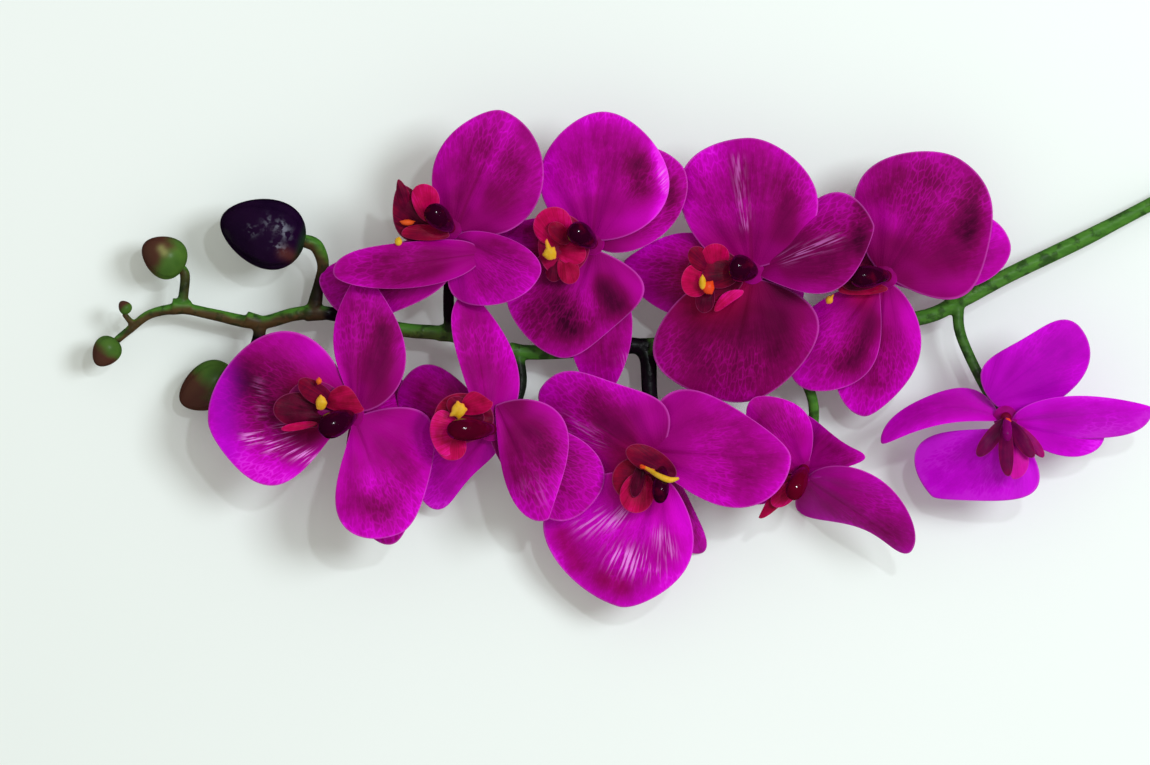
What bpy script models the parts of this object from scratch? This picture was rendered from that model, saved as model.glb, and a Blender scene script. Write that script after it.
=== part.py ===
"""A cut spray of a moth orchid laid down on a table: nine open blooms and five buds on one stem.

The plan is seen from above: +X runs along the stem to its cut end, +Y goes up the picture and +Z
comes up off the table. Sizes are in millimetres here and turned into metres at the end.
"""
import math
from collections import namedtuple

import bmesh
import bpy
from mathutils import Matrix, Vector

MM = 0.001
# The middle of the spray's outline in the plan, which becomes the origin.
PLAN_CENTRE = Vector((41.8, 8.3, 0.0))

SEAT = 0.3          # clearance between two pieces that sit on each other
HUB_RADIUS = 5.2    # the fused foot of the five tepals
HUB_HEIGHT = 2.4
HUB_DEPTH = 4.5     # how far the foot reaches down to the stalk
HUB_SIDES = 8
HUB_RINGS = 5
STALK_END = 2.0     # radius of a stalk where it meets its bloom
LIP_FOOT = (3.8, 0, 2.6)        # where the lip starts, from the bloom's centre
CALLUS_SIZE = (2.6, 2.2, 1.3)   # half the callus's length, width and height
CALLUS_HEIGHT = 4.45            # its middle above the lip's foot
TUBE_SIDES = 2      # curve bevel resolution, eight sides
BUD_SIDES = 10
BUD_RINGS = 7
BUD_TAPER = 0.22    # how much narrower a bud's far half is, and how much broader its near half
SHARP_EDGE = 50     # degrees past which an edge is shaded sharp

# A blade is a tepal or a lobe of a lip. Its outline is given as it is seen from above: how far it
# reaches to the left and to the right of the line from its foot to its tip, at three stations that
# are shares of that line.
STATIONS = (0.2, 0.5, 0.8)
LEAST_FULLNESS = 1.0    # keeps a blade's foot from pinching to nothing
THICKNESS = 0.9         # of a blade, square to its face
PETAL_CELLS = 6         # squares of a blade's grid, along and across
SEPAL_CELLS = 5
LOBE_CELLS = 3

Blade = namedtuple("Blade", "tip left right roll arch cup base lean cells")
Lip = namedtuple("Lip", "turn scale callus")
Bloom = namedtuple("Bloom", "centre tepals lip column_turn")
Bud = namedtuple("Bud", "centre length width turn colour")

# A lip has one lobe that points away from the column and one wing on each side of it.
LOBES = [
    Blade((18, 0, 2.6), (4.5, 6, 4), (4.5, 6, 4), 0, 1.2, 0.6, (0, 0, 0), 0, LOBE_CELLS),
    Blade((8, -12, 7.8), (4, 5, 3.5), (4, 5, 3.5), 25, -0.6, 0.6, (3, -1, 0.8), 0, LOBE_CELLS),
    Blade((8, 12, 7.8), (4, 5, 3.5), (4, 5, 3.5), -25, -0.6, 0.6, (3, 1, 0.8), 0, LOBE_CELLS),
]
# The column's route up from the middle of the bloom and over the lip, with its radius.
COLUMN = [
    (0.5, 0, 3.1, 2.4), (-0.2, 0, 6.5, 3.2), (3.5, 0, 10.2, 3.8), (8.5, 0, 12.2, 3.8),
    (11.5, 0, 12.6, 2.2),
]


def petal(tip, left, right, roll=0, base=(0, 0, 0), arch=2, cup=2.5, lean=0):
    return Blade(tip, left, right, roll, arch, cup, base, lean, PETAL_CELLS)


def sepal(tip, left, right, roll=0, base=(0, 0, -1.5), arch=2, cup=1.5, lean=0):
    return Blade(tip, left, right, roll, arch, cup, base, lean, SEPAL_CELLS)


# Each tepal runs from its foot, the base, to its tip, both measured from the bloom's centre.
BLOOMS = {
    "a": Bloom((-82.5, -12.4, 32), [
        petal((-53.5, -1.5, -5), (11.5, 24.5, 18.5), (26.5, 32, 23), base=(-0.5, 0, 0)),
        petal((19, -40, 2), (25.5, 23, 13.5), (6.5, 16, 17.5), roll=-14, base=(0.5, -0.5, 0)),
        sepal((3.5, 53.5, -2), (5, 9.5, 6.5), (15.5, 17, 9.5), base=(1.5, 1.5, -0.5)),
        sepal((15, -47.5, -8), (14, 17, 11), (6, 10, 9), base=(0.5, -1.5, -1.5)),
        sepal((20, 11, -28), (9, 12, 9), (9, 12, 9)),
    ], Lip(165, 1.0, 8.5), 204),
    "b": Bloom((-31.1, -17.2, 31), [
        petal((-34.5, 15, -18), (8, 14, 11), (7.5, 12, 13)),
        petal((21, -33.5, 5), (18.5, 19, 9), (4, 8, 8.5), base=(2, 9, 0.5)),
        sepal((-8.5, 50.5, -3), (5, 7.5, 8), (12, 13, 7.5), roll=20, base=(0, 0, 0)),
        sepal((-23.5, -29, -22), (7, 5.5, 5.5), (10, 14, 12)),
        sepal((40.5, -23.5, -4), (9, 13, 12), (9, 16, 17.5)),
    ], Lip(165, 0.9, 7), 176),
    "c": Bloom((-46.3, 57.2, 34), [
        petal((20.5, 43, 2), (13, 17, 12), (20, 24, 18.5), base=(2, -1, 0)),
        petal((-43, -16.5, 3), (13.5, 13, 7), (3, 4, 5.5), roll=40, base=(4, -4, -1)),
        petal((33.5, -17.5, 8), (5.5, 7.5, 6.5), (19.5, 20, 14), roll=10, base=(2.5, -3.5, 0)),
        sepal((-48.5, -21, -16), (16.5, 19, 17.5), (4, 5, 6), base=(1, -3, -1.5)),
        sepal((20, -8, -29), (9, 12, 9), (9, 12, 9)),
    ], Lip(160, 1.0, 11), 141),
    "d": Bloom((6.3, 51.6, 30), [
        petal((5.5, 48.5, 2), (17.5, 22, 16), (21, 26, 18.5), roll=-8, base=(0, 1, 0)),
        petal((-13.5, -42, -8), (23, 19, 11.5), (17, 26, 22), base=(0.5, -2, 0)),
        sepal((32.5, 29, 4), (12, 18, 14), (11, 14.5, 11.5), base=(1.5, -1, -1.5)),
        sepal((5, -56, -13), (9, 12.5, 8.5), (9, 12, 9.5), base=(0, -2, -1.5)),
        sepal((-38.5, 1, -12), (6, 9, 8), (7, 9, 6)),
    ], Lip(185, 1.0, 11.5), 150),
    "e": Bloom((65.5, 40.9, 32), [
        petal((-2.5, 49.5, 2), (18.5, 25, 23), (20, 25.5, 18.5), roll=-9, base=(0, 1.5, 0)),
        petal((-9, -48, -7), (26.5, 26.5, 18), (22, 30, 29), base=(0, -2, 0)),
        sepal((44.5, 17.5, 12), (8, 14, 16.5), (10, 17.5, 11.5), roll=-22),
        sepal((-47.5, 3.5, -16), (16, 18.5, 13), (9, 13, 8), base=(-1.5, 0, -1.5)),
        sepal((19, -11, -27), (8, 11, 8), (8, 11, 8)),
    ], Lip(190, 1.1, 12), 168),
    "f": Bloom((115.1, 39.4, 26), [
        petal((28, 43, 3), (20, 27.5, 20), (28.5, 27.5, 20.5)),
        petal((-32, -40.5, -5), (8.5, 17, 14), (8, 14, 12), base=(-2.5, -1.5, 0)),
        sepal((46.5, 11.5, -6), (8, 12.5, 12), (8, 12, 11.5)),
        sepal((-8, -52, -10), (13, 17, 11), (9, 14, 12), base=(0, -2, -1.5)),
        sepal((-24, 14, -21), (8, 11, 8), (8, 11, 8)),
    ], Lip(200, 1.15, 13.5), 178),
    "g": Bloom((32.2, -31.6, 30), [
        petal((-16.5, -51.5, -10), (14.5, 20.5, 14.5), (26, 36, 28), roll=10, base=(-1, -2.5, 0)),
        petal((47.5, 3, 10), (23, 20.5, 11.5), (10, 18, 17), base=(-2.5, 6.5, 0)),
        petal((-45, 29.5, -9), (9, 15, 11), (20, 17.5, 13.5), roll=-20, base=(-2.5, 2, 0)),
        sepal((15.5, -32, -28), (4.5, 4.5, 4), (6, 9, 7), base=(0.5, -3, -1.5)),
        sepal((20, 16, -28), (9, 12, 9), (9, 12, 9)),
    ], Lip(215, 1.0, 9.5), 265),
    "h": Bloom((84.7, -32.4, 24), [
        petal((40, -30, 2), (12, 15, 11), (11.5, 5, 3), roll=45, base=(1, -3, 0)),
        petal((-19, 26.5, 5), (8, 9, 7), (9, 13, 9)),
        sepal((22.5, 5, 12), (20, 13, 5), (4, 3, 2), roll=-30, base=(0, 0, -0.5)),
        sepal((28, -10, -14), (5, 6, 5), (5, 6, 5)),
        sepal((-34, -4, -14), (8, 11, 8), (8, 11, 8)),
    ], Lip(225, 0.9, 10), 243),
    "i": Bloom((159.1, -13.1, 34), [
        petal((27.5, 33.5, 2), (12, 10.5, 8.5), (13, 16, 14), base=(-5.5, 6.5, -1)),
        petal((-22, -31.5, -16), (24, 19, 8), (5, 14, 19.5), base=(2.5, -2.5, 0)),
        sepal((-46, -9, -2), (4.5, 6, 4.5), (8, 5.5, 4.5), roll=45, base=(-2, 0, -0.5), lean=-8),
        sepal((54.5, 3.5, -2), (6.5, 7, 4), (7, 9, 9), roll=42, base=(2.5, -1, 0)),
        sepal((37.5, -7, -14), (5, 6, 5), (6, 9, 8), base=(3.5, -2.5, -1.5)),
    ], Lip(268, 0.9, 10), 268),
}

BUDS = {
    "bud_tip": Bud((-176.0, 11.9, 12), 11.5, 10, 230, "green"),
    "bud_tiny": Bud((-170.0, 28.0, 13.5), 5.4, 4.8, 130, "green"),
    "bud_small": Bud((-154.0, 47.4, 14), 17.5, 15.5, 150, "green"),
    "bud_large": Bud((-116.0, 56.2, 20), 33, 26, 168, "purple"),
    "bud_low": Bud((-137.0, -1.8, 8.0), 23, 17.5, 210, "green"),
}

# Points of the main stem and of each side stalk, with the radius there.
STEM = [
    (263, 90, 1.6, 2.9), (248, 82.5, 1.6, 2.9), (230, 74, 3.0, 2.9), (205, 61, 7.5, 2.9),
    (188, 52.7, 10.5, 2.9), (161, 39.8, 13.5, 2.9), (142.5, 30, 15, 2.9), (127, 23.7, 15, 2.8),
    (87, 18.7, 14.5, 2.8), (46, 14.6, 14.5, 2.8), (24, 13.7, 14.5, 2.8), (-20, 11.3, 14, 2.8),
    (-46, 17.8, 14, 2.8), (-65, 19.8, 13.5, 2.7), (-92, 25.8, 13, 2.6), (-104, 25.5, 13, 2.6),
    (-118, 22.6, 12.5, 2.5), (-135, 26.3, 12.5, 2.2), (-146.5, 28.2, 12.5, 2.1),
    (-158, 25.5, 12.5, 1.8), (-165.6, 19.8, 12.2, 1.6), (-171, 15.4, 12, 1.5),
]
STALKS = {
    "a": [(-78, 22.2, 13, 2.1), (-86, 10, 13.5, 2.0), (-85.5, -4, 16, 1.9), (-82.7, -12.0, 22, 2.0)],
    "b": [(-21.5, 11.5, 14, 2.3), (-20, 0, 16, 2.2), (-23, -9.5, 17, 2.0), (-28.5, -15, 18.5, 2.0),
          (-30.8, -17, 22.5, 2.0)],
    "c": [(-46.5, 18, 14, 2.2), (-47, 30, 16.5, 2.1), (-46.6, 43, 19, 2.0), (-46.4, 53, 22, 2.0),
          (-46.3, 56.8, 25.6, 2.0)],
    "d": [(9, 13.2, 14.5, 2.2), (8, 28, 14.5, 2.0), (6.5, 43, 16, 2.0), (6.3, 51.2, 21.4, 2.0)],
    "e": [(60, 16, 14.5, 2.2), (62, 26, 15, 2.0), (65, 35.5, 18, 2.0), (65.5, 40.5, 23.2, 2.0)],
    "f": [(104, 20.8, 14.5, 2.2), (110, 28, 14, 2.0), (114.4, 35, 14, 2.0),
          (115.1, 39, 17.4, 2.0)],
    "g": [(23.5, 13.8, 14.5, 2.6), (27, 8, 15.5, 2.5), (27.8, -4, 16, 2.4), (30, -20, 16, 2.1),
          (31.8, -28, 17.5, 2.0), (32.2, -31.2, 21.4, 2.0)],
    "h": [(80, 18.2, 14.5, 2.2), (84, 5, 14, 2.0), (88.5, -7, 13.5, 2.0), (88.5, -18, 11, 2.0),
          (86, -28, 11, 2.0), (84.7, -32, 15.4, 2.0)],
    "i": [(142.5, 29.5, 15, 2.3), (142.8, 20, 16.5, 2.1), (146.5, 10, 17, 2.0), (153, -3, 18, 2.0),
          (158, -11, 21, 2.0), (159.1, -12.8, 25.4, 2.0)],
    "bud_tiny": [(-164, 21, 12.3, 1.3), (-168.0, 25.8, 13.2, 1.1)],
    "bud_small": [(-146.3, 28.2, 12.5, 1.9), (-145.6, 36, 13, 1.7), (-146.0, 41.5, 13.4, 1.6)],
    "bud_large": [(-98, 26, 13, 2.3), (-96.3, 39, 15, 2.3), (-98.2, 50.4, 18.4, 2.4)],
    "bud_low": [(-119, 22.8, 12.5, 1.9), (-122.5, 14.5, 11.5, 1.8), (-126.4, 5.2, 9.0, 1.8)],
}
# Where a bract scale clasps the stem: the place and the way towards the tip.
SCALE_LENGTH = 7.0
SCALE_RADII = (2.6, 3.7)
SCALE_SIDES = 8
SCALES = [
    ((142, 29.8, 15), (-1, -0.42, 0)), ((24, 13.7, 14.5), (-1, 0.02, 0)),
    ((-20.5, 11.5, 14), (-1, 0.1, 0)), ((-47, 17.9, 14), (-1, 0.18, 0)),
    ((-96.5, 25.7, 13), (-1, 0.05, 0)), ((-119, 22.8, 12.5), (-1, 0.2, 0)),
    ((-146.3, 28.2, 12.5), (-1, 0.02, 0)),
]

COLOURS = {
    "petals": ((0.33, 0.0, 0.26), 0.42), "lip": ((0.36, 0.003, 0.06), 0.4),
    "column": ((0.04, 0.001, 0.008), 0.18), "callus": ((0.62, 0.26, 0.01), 0.45),
    "stem": ((0.09, 0.2, 0.03), 0.5), "green": ((0.1, 0.13, 0.03), 0.45),
    "purple": ((0.012, 0.006, 0.03), 0.3),
}


def clear_scene():
    for obj in list(bpy.data.objects):
        bpy.data.objects.remove(obj, do_unlink=True)


def material(name):
    colour, roughness = COLOURS[name]
    made = bpy.data.materials.get(name) or bpy.data.materials.new(name)
    made.use_nodes = True
    shader = made.node_tree.nodes["Principled BSDF"]
    shader.inputs["Base Color"].default_value = (*colour, 1)
    shader.inputs["Roughness"].default_value = roughness
    shader.inputs["Metallic"].default_value = 0
    return made


def object_from(bm, name):
    """A scene object with the mesh that bm holds, still in millimetres."""
    bmesh.ops.recalc_face_normals(bm, faces=bm.faces[:])
    mesh = bpy.data.meshes.new(name)
    bm.to_mesh(mesh)
    bm.free()
    obj = bpy.data.objects.new(name, mesh)
    bpy.context.scene.collection.objects.link(obj)
    return obj


def united(name, pieces):
    """One body made of overlapping pieces, which are removed."""
    first, rest = pieces[0], pieces[1:]
    joining = bpy.data.collections.new(name + "_joining")
    bpy.context.scene.collection.children.link(joining)
    for piece in rest:
        bpy.context.scene.collection.objects.unlink(piece)
        joining.objects.link(piece)
    union = first.modifiers.new("union", "BOOLEAN")
    union.operation = "UNION"
    union.operand_type = "COLLECTION"
    union.collection = joining
    union.solver = "EXACT"
    graph = bpy.context.evaluated_depsgraph_get()
    mesh = bpy.data.meshes.new_from_object(first.evaluated_get(graph))
    first.modifiers.clear()
    first.data = mesh
    first.name = name
    for piece in rest:
        bpy.data.objects.remove(piece, do_unlink=True)
    bpy.data.collections.remove(joining)
    return first


def finished(obj, colour):
    """Puts the piece at its place in metres, with its material."""
    obj.data.transform(Matrix.Scale(MM, 4) @ Matrix.Translation(-PLAN_CENTRE))
    obj.data.materials.clear()
    obj.data.materials.append(material(colour))
    obj.data.shade_smooth()
    obj.data.set_sharp_from_angle(angle=math.radians(SHARP_EDGE))
    return obj


def round_margin(along):
    """Half the width of a round disc whose whole width is two, at a share of the way across it."""
    return 2 * math.sqrt(along * (1 - along))


def fullness(widths, along):
    """What a round blade is widened by at a share of its length, to pass through the given widths."""
    near, middle, far = (width / round_margin(at) for width, at in zip(widths, STATIONS))
    step = (along - STATIONS[1]) / (STATIONS[2] - STATIONS[1])
    bow = (near + far) / 2 - middle
    return max(LEAST_FULLNESS, middle + step * (far - near) / 2 + step * step * bow)


def flat_blade(leaf, length):
    """A thick flat blade along +X, its square grid pressed into the leaf's rounded outline."""
    bm = bmesh.new()
    bmesh.ops.create_grid(bm, x_segments=leaf.cells, y_segments=leaf.cells, size=1)
    for vert in bm.verts:
        u, v = vert.co.x, vert.co.y
        along = (1 + u * math.sqrt(1 - v * v / 2)) / 2
        across = v * math.sqrt(1 - u * u / 2)
        widths = leaf.left if across > 0 else leaf.right
        vert.co = (along * length, across * fullness(widths, along), 0)
    bmesh.ops.triangulate(bm, faces=bm.faces[:])
    bmesh.ops.solidify(bm, geom=bm.faces[:], thickness=1)
    return bm


def placed_blade(leaf):
    """A blade from its base to its tip, arched, cupped, rolled and leant.

    The second value is the set of points on its upper face.
    """
    base, tip = Vector(leaf.base), Vector(leaf.tip)
    forward = (tip - base).to_2d()
    leftward = Vector((-forward.y, forward.x)).normalized()
    slope = math.tan(math.radians(leaf.roll))
    bm = flat_blade(leaf, forward.length)
    top = max(vert.co.z for vert in bm.verts)
    upper = {vert for vert in bm.verts if math.isclose(vert.co.z, top, abs_tol=0.1)}
    for vert in bm.verts:
        along, side = vert.co.x / forward.length, vert.co.y
        # Nought at both ends and one halfway.
        hump = 4 * along * (1 - along)
        half = leaf.left[1] if side > 0 else leaf.right[1]
        spot = base.to_2d() + forward * along + leftward * (side + leaf.lean * hump)
        height = base.z + (tip.z - base.z) * along + leaf.arch * hump + side * slope
        height -= leaf.cup * (side / half) ** 2
        if vert not in upper:
            height -= THICKNESS * math.hypot(1, slope)
        vert.co = (spot.x, spot.y, height)
    return bm, upper


def tepal_object(name, centre, tepal):
    bm, upper = placed_blade(tepal)
    bmesh.ops.translate(bm, vec=centre, verts=bm.verts[:])
    rest_on_table(bm, upper)
    return object_from(bm, name)


def rest_on_table(bm, upper):
    """Flattens what would reach below the table into a flat spot on it."""
    for vert in bm.verts:
        vert.co.z = max(vert.co.z, THICKNESS if vert in upper else 0)


def hub(centre):
    """The low rounded foot that the five tepals grow from."""
    bm = bmesh.new()
    bmesh.ops.create_uvsphere(bm, u_segments=HUB_SIDES, v_segments=HUB_RINGS, radius=1)
    for vert in bm.verts:
        x, y, z = vert.co
        vert.co = (x * HUB_RADIUS, y * HUB_RADIUS, z * (HUB_HEIGHT if z > 0 else HUB_DEPTH))
    bmesh.ops.translate(bm, vec=centre, verts=bm.verts[:])
    return object_from(bm, "hub")


def petals_of(letter, bloom):
    pieces = [hub(bloom.centre)]
    for count, tepal in enumerate(bloom.tepals):
        pieces.append(tepal_object(f"tepal_{count}", Vector(bloom.centre), tepal))
    return finished(united(f"petals_{letter}", pieces), "petals")


def lip_place(bloom):
    """The matrix from a lip's own space, with its foot at the origin and its middle lobe along +X."""
    turn = Matrix.Rotation(math.radians(bloom.lip.turn), 4, "Z")
    foot = Matrix.Translation(LIP_FOOT)
    return Matrix.Translation(bloom.centre) @ turn @ foot @ Matrix.Scale(bloom.lip.scale, 4)


def lip_of(letter, bloom):
    """The three-lobed lip, grown together at its foot."""
    pieces = []
    for lobe in LOBES:
        bm, _ = placed_blade(lobe)
        bmesh.ops.transform(bm, matrix=lip_place(bloom), verts=bm.verts[:])
        pieces.append(object_from(bm, "lobe"))
    return finished(united(f"lip_{letter}", pieces), "lip")


def smooth_route(points, steps):
    """Points on a smooth curve through the given ones, each with its radius."""
    rows = [Vector(point) for point in points]
    ends = [2 * rows[0] - rows[1], *rows, 2 * rows[-1] - rows[-2]]
    route = []
    for before, start, end, after in zip(ends, ends[1:], ends[2:], ends[3:]):
        for step in range(steps):
            t = step / steps
            route.append(
                0.5 * (2 * start + (end - before) * t
                       + (2 * before - 5 * start + 4 * end - after) * t ** 2
                       + (3 * start - before - 3 * end + after) * t ** 3)
            )
    route.append(rows[-1])
    return route


def tube(name, points, steps=2):
    """A closed round tube along a smooth curve, its radius given at each point."""
    route = smooth_route(points, steps)
    curve = bpy.data.curves.new(name, "CURVE")
    curve.dimensions = "3D"
    curve.bevel_depth = 1
    curve.bevel_resolution = TUBE_SIDES
    curve.use_fill_caps = True
    spline = curve.splines.new("POLY")
    spline.points.add(len(route) - 1)
    for point, (x, y, z, radius) in zip(spline.points, route):
        point.co = (x, y, z, 1)
        point.radius = radius
    guide = bpy.data.objects.new(name, curve)
    bpy.context.scene.collection.objects.link(guide)
    graph = bpy.context.evaluated_depsgraph_get()
    mesh = bpy.data.meshes.new_from_object(guide.evaluated_get(graph))
    bpy.data.objects.remove(guide, do_unlink=True)
    bm = bmesh.new()
    bm.from_mesh(mesh)
    bmesh.ops.remove_doubles(bm, verts=bm.verts[:], dist=0.001)
    return object_from(bm, name)


def scale_ring(place, way):
    """A short cup that clasps the stem at a node and opens towards the tip."""
    bm = bmesh.new()
    bmesh.ops.create_cone(
        bm, cap_ends=True, segments=SCALE_SIDES, radius1=SCALE_RADII[0], radius2=SCALE_RADII[1],
        depth=SCALE_LENGTH,
    )
    turn = Vector(way).to_track_quat("Z", "Y").to_matrix().to_4x4()
    bmesh.ops.transform(bm, matrix=Matrix.Translation(place) @ turn, verts=bm.verts[:])
    return object_from(bm, "scale")


def stem():
    pieces = [tube("stem", STEM)]
    for name, points in STALKS.items():
        if name in BLOOMS:
            x, y, z = BLOOMS[name].centre
            points = points + [(x, y, z - HUB_DEPTH - SEAT, STALK_END)]
        pieces.append(tube("stalk_" + name, points))
    pieces += [scale_ring(place, way) for place, way in SCALES]
    obj = united("stem", pieces)
    for vert in obj.data.vertices:
        vert.co.z = max(vert.co.z, 0)
    return finished(obj, "stem")


def column_of(letter, bloom):
    """The stout rounded column that leans over the lip from the middle of the bloom."""
    turn = Matrix.Rotation(math.radians(bloom.column_turn), 4, "Z")
    obj = tube(f"column_{letter}", COLUMN, steps=1)
    obj.data.transform(Matrix.Translation(bloom.centre) @ turn)
    return finished(obj, "column")


def callus_of(letter, bloom):
    """The small raised pad on the lip."""
    bm = bmesh.new()
    bmesh.ops.create_icosphere(bm, subdivisions=1, radius=1)
    bmesh.ops.scale(bm, vec=CALLUS_SIZE, verts=bm.verts[:])
    bmesh.ops.translate(bm, vec=(bloom.lip.callus, 0, CALLUS_HEIGHT), verts=bm.verts[:])
    bmesh.ops.transform(bm, matrix=lip_place(bloom), verts=bm.verts[:])
    return finished(object_from(bm, f"callus_{letter}"), "callus")


def bud_object(name, bud):
    """An egg-shaped bud, broad at the stalk and narrow at its far end."""
    bm = bmesh.new()
    bmesh.ops.create_uvsphere(bm, u_segments=BUD_SIDES, v_segments=BUD_RINGS, radius=1)
    for vert in bm.verts:
        x, y, z = vert.co
        girth = bud.width / 2 * (1 - BUD_TAPER * z)
        vert.co = (z * bud.length / 2, x * girth, y * girth)
    turn = Matrix.Rotation(math.radians(bud.turn), 4, "Z")
    bmesh.ops.transform(bm, matrix=Matrix.Translation(bud.centre) @ turn, verts=bm.verts[:])
    for vert in bm.verts:
        vert.co.z = max(vert.co.z, 0)
    return finished(object_from(bm, name), bud.colour)


def main():
    clear_scene()
    stem()
    for name, bud in BUDS.items():
        bud_object(name, bud)
    for letter, bloom in BLOOMS.items():
        petals_of(letter, bloom)
        lip_of(letter, bloom)
        column_of(letter, bloom)
        callus_of(letter, bloom)


main()
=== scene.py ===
# %% [markdown]
# # A cut spray of moth orchid blooms
# One flower stem, cut and laid down: nine open magenta blooms in two rows, and five closed buds
# towards its thin end. The plain solids come in first, as a fixed frame. Each of them is then
# stood for by a finer piece of the same form, made with mesh operators, and gets a finish that is
# built from shader nodes.

# %% Load the frame
import math
from collections import namedtuple

import bmesh
import bpy
from mathutils import kdtree, Matrix, Vector, noise


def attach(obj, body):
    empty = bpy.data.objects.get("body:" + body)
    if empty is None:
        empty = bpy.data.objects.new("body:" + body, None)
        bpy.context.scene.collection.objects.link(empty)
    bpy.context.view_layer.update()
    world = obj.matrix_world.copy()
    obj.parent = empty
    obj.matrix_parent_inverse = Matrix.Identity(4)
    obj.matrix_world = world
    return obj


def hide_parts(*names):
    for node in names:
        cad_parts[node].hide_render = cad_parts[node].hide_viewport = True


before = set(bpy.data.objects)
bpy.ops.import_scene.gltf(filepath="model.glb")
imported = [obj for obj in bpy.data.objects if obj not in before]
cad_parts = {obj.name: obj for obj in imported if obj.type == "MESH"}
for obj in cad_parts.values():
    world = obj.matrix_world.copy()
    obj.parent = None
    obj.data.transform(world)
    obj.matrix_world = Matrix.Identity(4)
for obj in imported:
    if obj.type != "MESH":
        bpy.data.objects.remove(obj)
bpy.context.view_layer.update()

# %% [markdown]
# ## Sizes and places
# The spray is laid out in a plan seen from above, in millimetres. The plan's zero point is the
# middle of the view, +X runs to the cut end of the stem, +Y goes up the picture and +Z comes
# towards the eye. The frame has its own zero point, in the middle of the spray's outline, so each
# finished mesh is moved there and turned into metres in one step.

# %% Plan to frame
MM = 0.001
PLAN_CENTRE = Vector((41.8, 8.3, 0.0))
PLAN_TO_FRAME = Matrix.Scale(MM, 4) @ Matrix.Translation(-PLAN_CENTRE)


def piece_from(bm, name, finish, stands_for):
    """An object at the origin with bm's mesh in the frame, which rides on the one body."""
    for vert in bm.verts:
        vert.co.z = max(vert.co.z, 0)       # what would reach below the table lies flat on it
    bmesh.ops.transform(bm, matrix=PLAN_TO_FRAME, verts=bm.verts[:])
    mesh = bpy.data.meshes.new(name)
    bm.to_mesh(mesh)
    bm.free()
    mesh.materials.append(finish)
    mesh.shade_smooth()
    piece = bpy.data.objects.new(name, mesh)
    bpy.context.scene.collection.objects.link(piece)
    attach(piece, "root")
    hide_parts(*stands_for)
    print(name, "has", len(mesh.polygons), "faces")


print("the plan's zero point in the frame:", tuple(round(side, 4) for side in PLAN_TO_FRAME.translation))

# %% [markdown]
# ## Reading places off the picture
# Small things, such as the marks on a petal, are placed where the picture shows them. The picture
# is 1150 by 765 pixels, and one pixel is 0.37 mm on the spray, so a pixel gives a place in the plan.

# %% Picture to plan
PIXEL = 0.37            # millimetres
PICTURE = (1150, 765)


def seen(across, down):
    """The place in the plan, in millimetres, of a pixel of the picture."""
    return Vector(((across - PICTURE[0] / 2) * PIXEL, (PICTURE[1] / 2 - down) * PIXEL))


print("the view covers", [round(side * PIXEL, 1) for side in PICTURE], "mm")

# %% [markdown]
# ## Camera
# The picture was taken from straight above and shows hardly any perspective, so a long lens looks
# down from three metres. At the height of the blooms the view is 425 mm wide.

# %% Camera
EYE_HEIGHT = 3000       # above the table
BLOOM_HEIGHT = 30       # of the blooms' middles
VIEW_WIDTH = PICTURE[0] * PIXEL     # at the blooms' height
SENSOR = 36

camera_data = bpy.data.cameras.new("camera")
camera_data.sensor_width = SENSOR
camera_data.lens = SENSOR * (EYE_HEIGHT - BLOOM_HEIGHT) / VIEW_WIDTH
camera = bpy.data.objects.new("camera", camera_data)
camera.location = PLAN_TO_FRAME @ Vector((0, 0, EYE_HEIGHT))
bpy.context.scene.collection.objects.link(camera)
bpy.context.scene.camera = camera
print("lens in mm:", round(camera_data.lens, 1))

# %% [markdown]
# ## Light
# The light is soft and comes from the right, a little from the top of the picture, so the shadows
# lie to the left of the buds. A broad area lamp makes them, a pale sky fills them, and one small
# lamp puts the pinpoint highlights on the glossy columns. Standard colour keeps the magenta as
# strong as it is.

# %% Light
LAMP_COLOUR = (0.9, 0.965, 1)
SKY_COLOUR = (0.95, 0.96, 0.87, 1)
SKY_STRENGTH = 0.6

bpy.context.scene.view_settings.view_transform = "Standard"


def lamp(name, towards, distance, size, power):
    """A square lamp that shines at the spray from the direction towards it."""
    data = bpy.data.lights.new(name, "AREA")
    data.size = size
    data.energy = power
    data.color = LAMP_COLOUR
    lamp_object = bpy.data.objects.new(name, data)
    way = Vector(towards).normalized()
    lamp_object.location = camera.location * Vector((1, 1, 0)) + way * distance
    lamp_object.rotation_euler = way.to_track_quat("Z", "Y").to_euler()
    bpy.context.scene.collection.objects.link(lamp_object)
    return lamp_object


# The broad lamp and the sky show in no gloss: the petals' colour stays deep, as in the picture.
key_lamp = lamp("key_lamp", (0.62, 0.22, 0.85), distance=2.2, size=0.7, power=28.5)
key_lamp.visible_glossy = False
lamp("sparkle_lamp", (0.25, 0.3, 0.95), distance=2.0, size=0.09, power=5)
world = bpy.data.worlds.new("pale_sky")
world.use_nodes = True
sky = world.node_tree.nodes["Background"]
sky.inputs["Color"].default_value = SKY_COLOUR
sky.inputs["Strength"].default_value = SKY_STRENGTH
world.cycles_visibility.glossy = False
bpy.context.scene.world = world

# %% [markdown]
# ## Finishes from nodes
# Each finish is a small net of nodes in front of one Principled shader. A short helper keeps the
# recipes readable: it adds a node, and either links a value into a socket or sets it there.

# %% Node helper
def shade(*screen):
    """A colour given as a screen shows it, from 0 to 255, in the linear numbers that nodes take."""
    parts = [part / 255 for part in screen]
    return (*[part / 12.92 if part < 0.0404 else ((part + 0.055) / 1.055) ** 2.4 for part in parts], 1)


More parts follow.
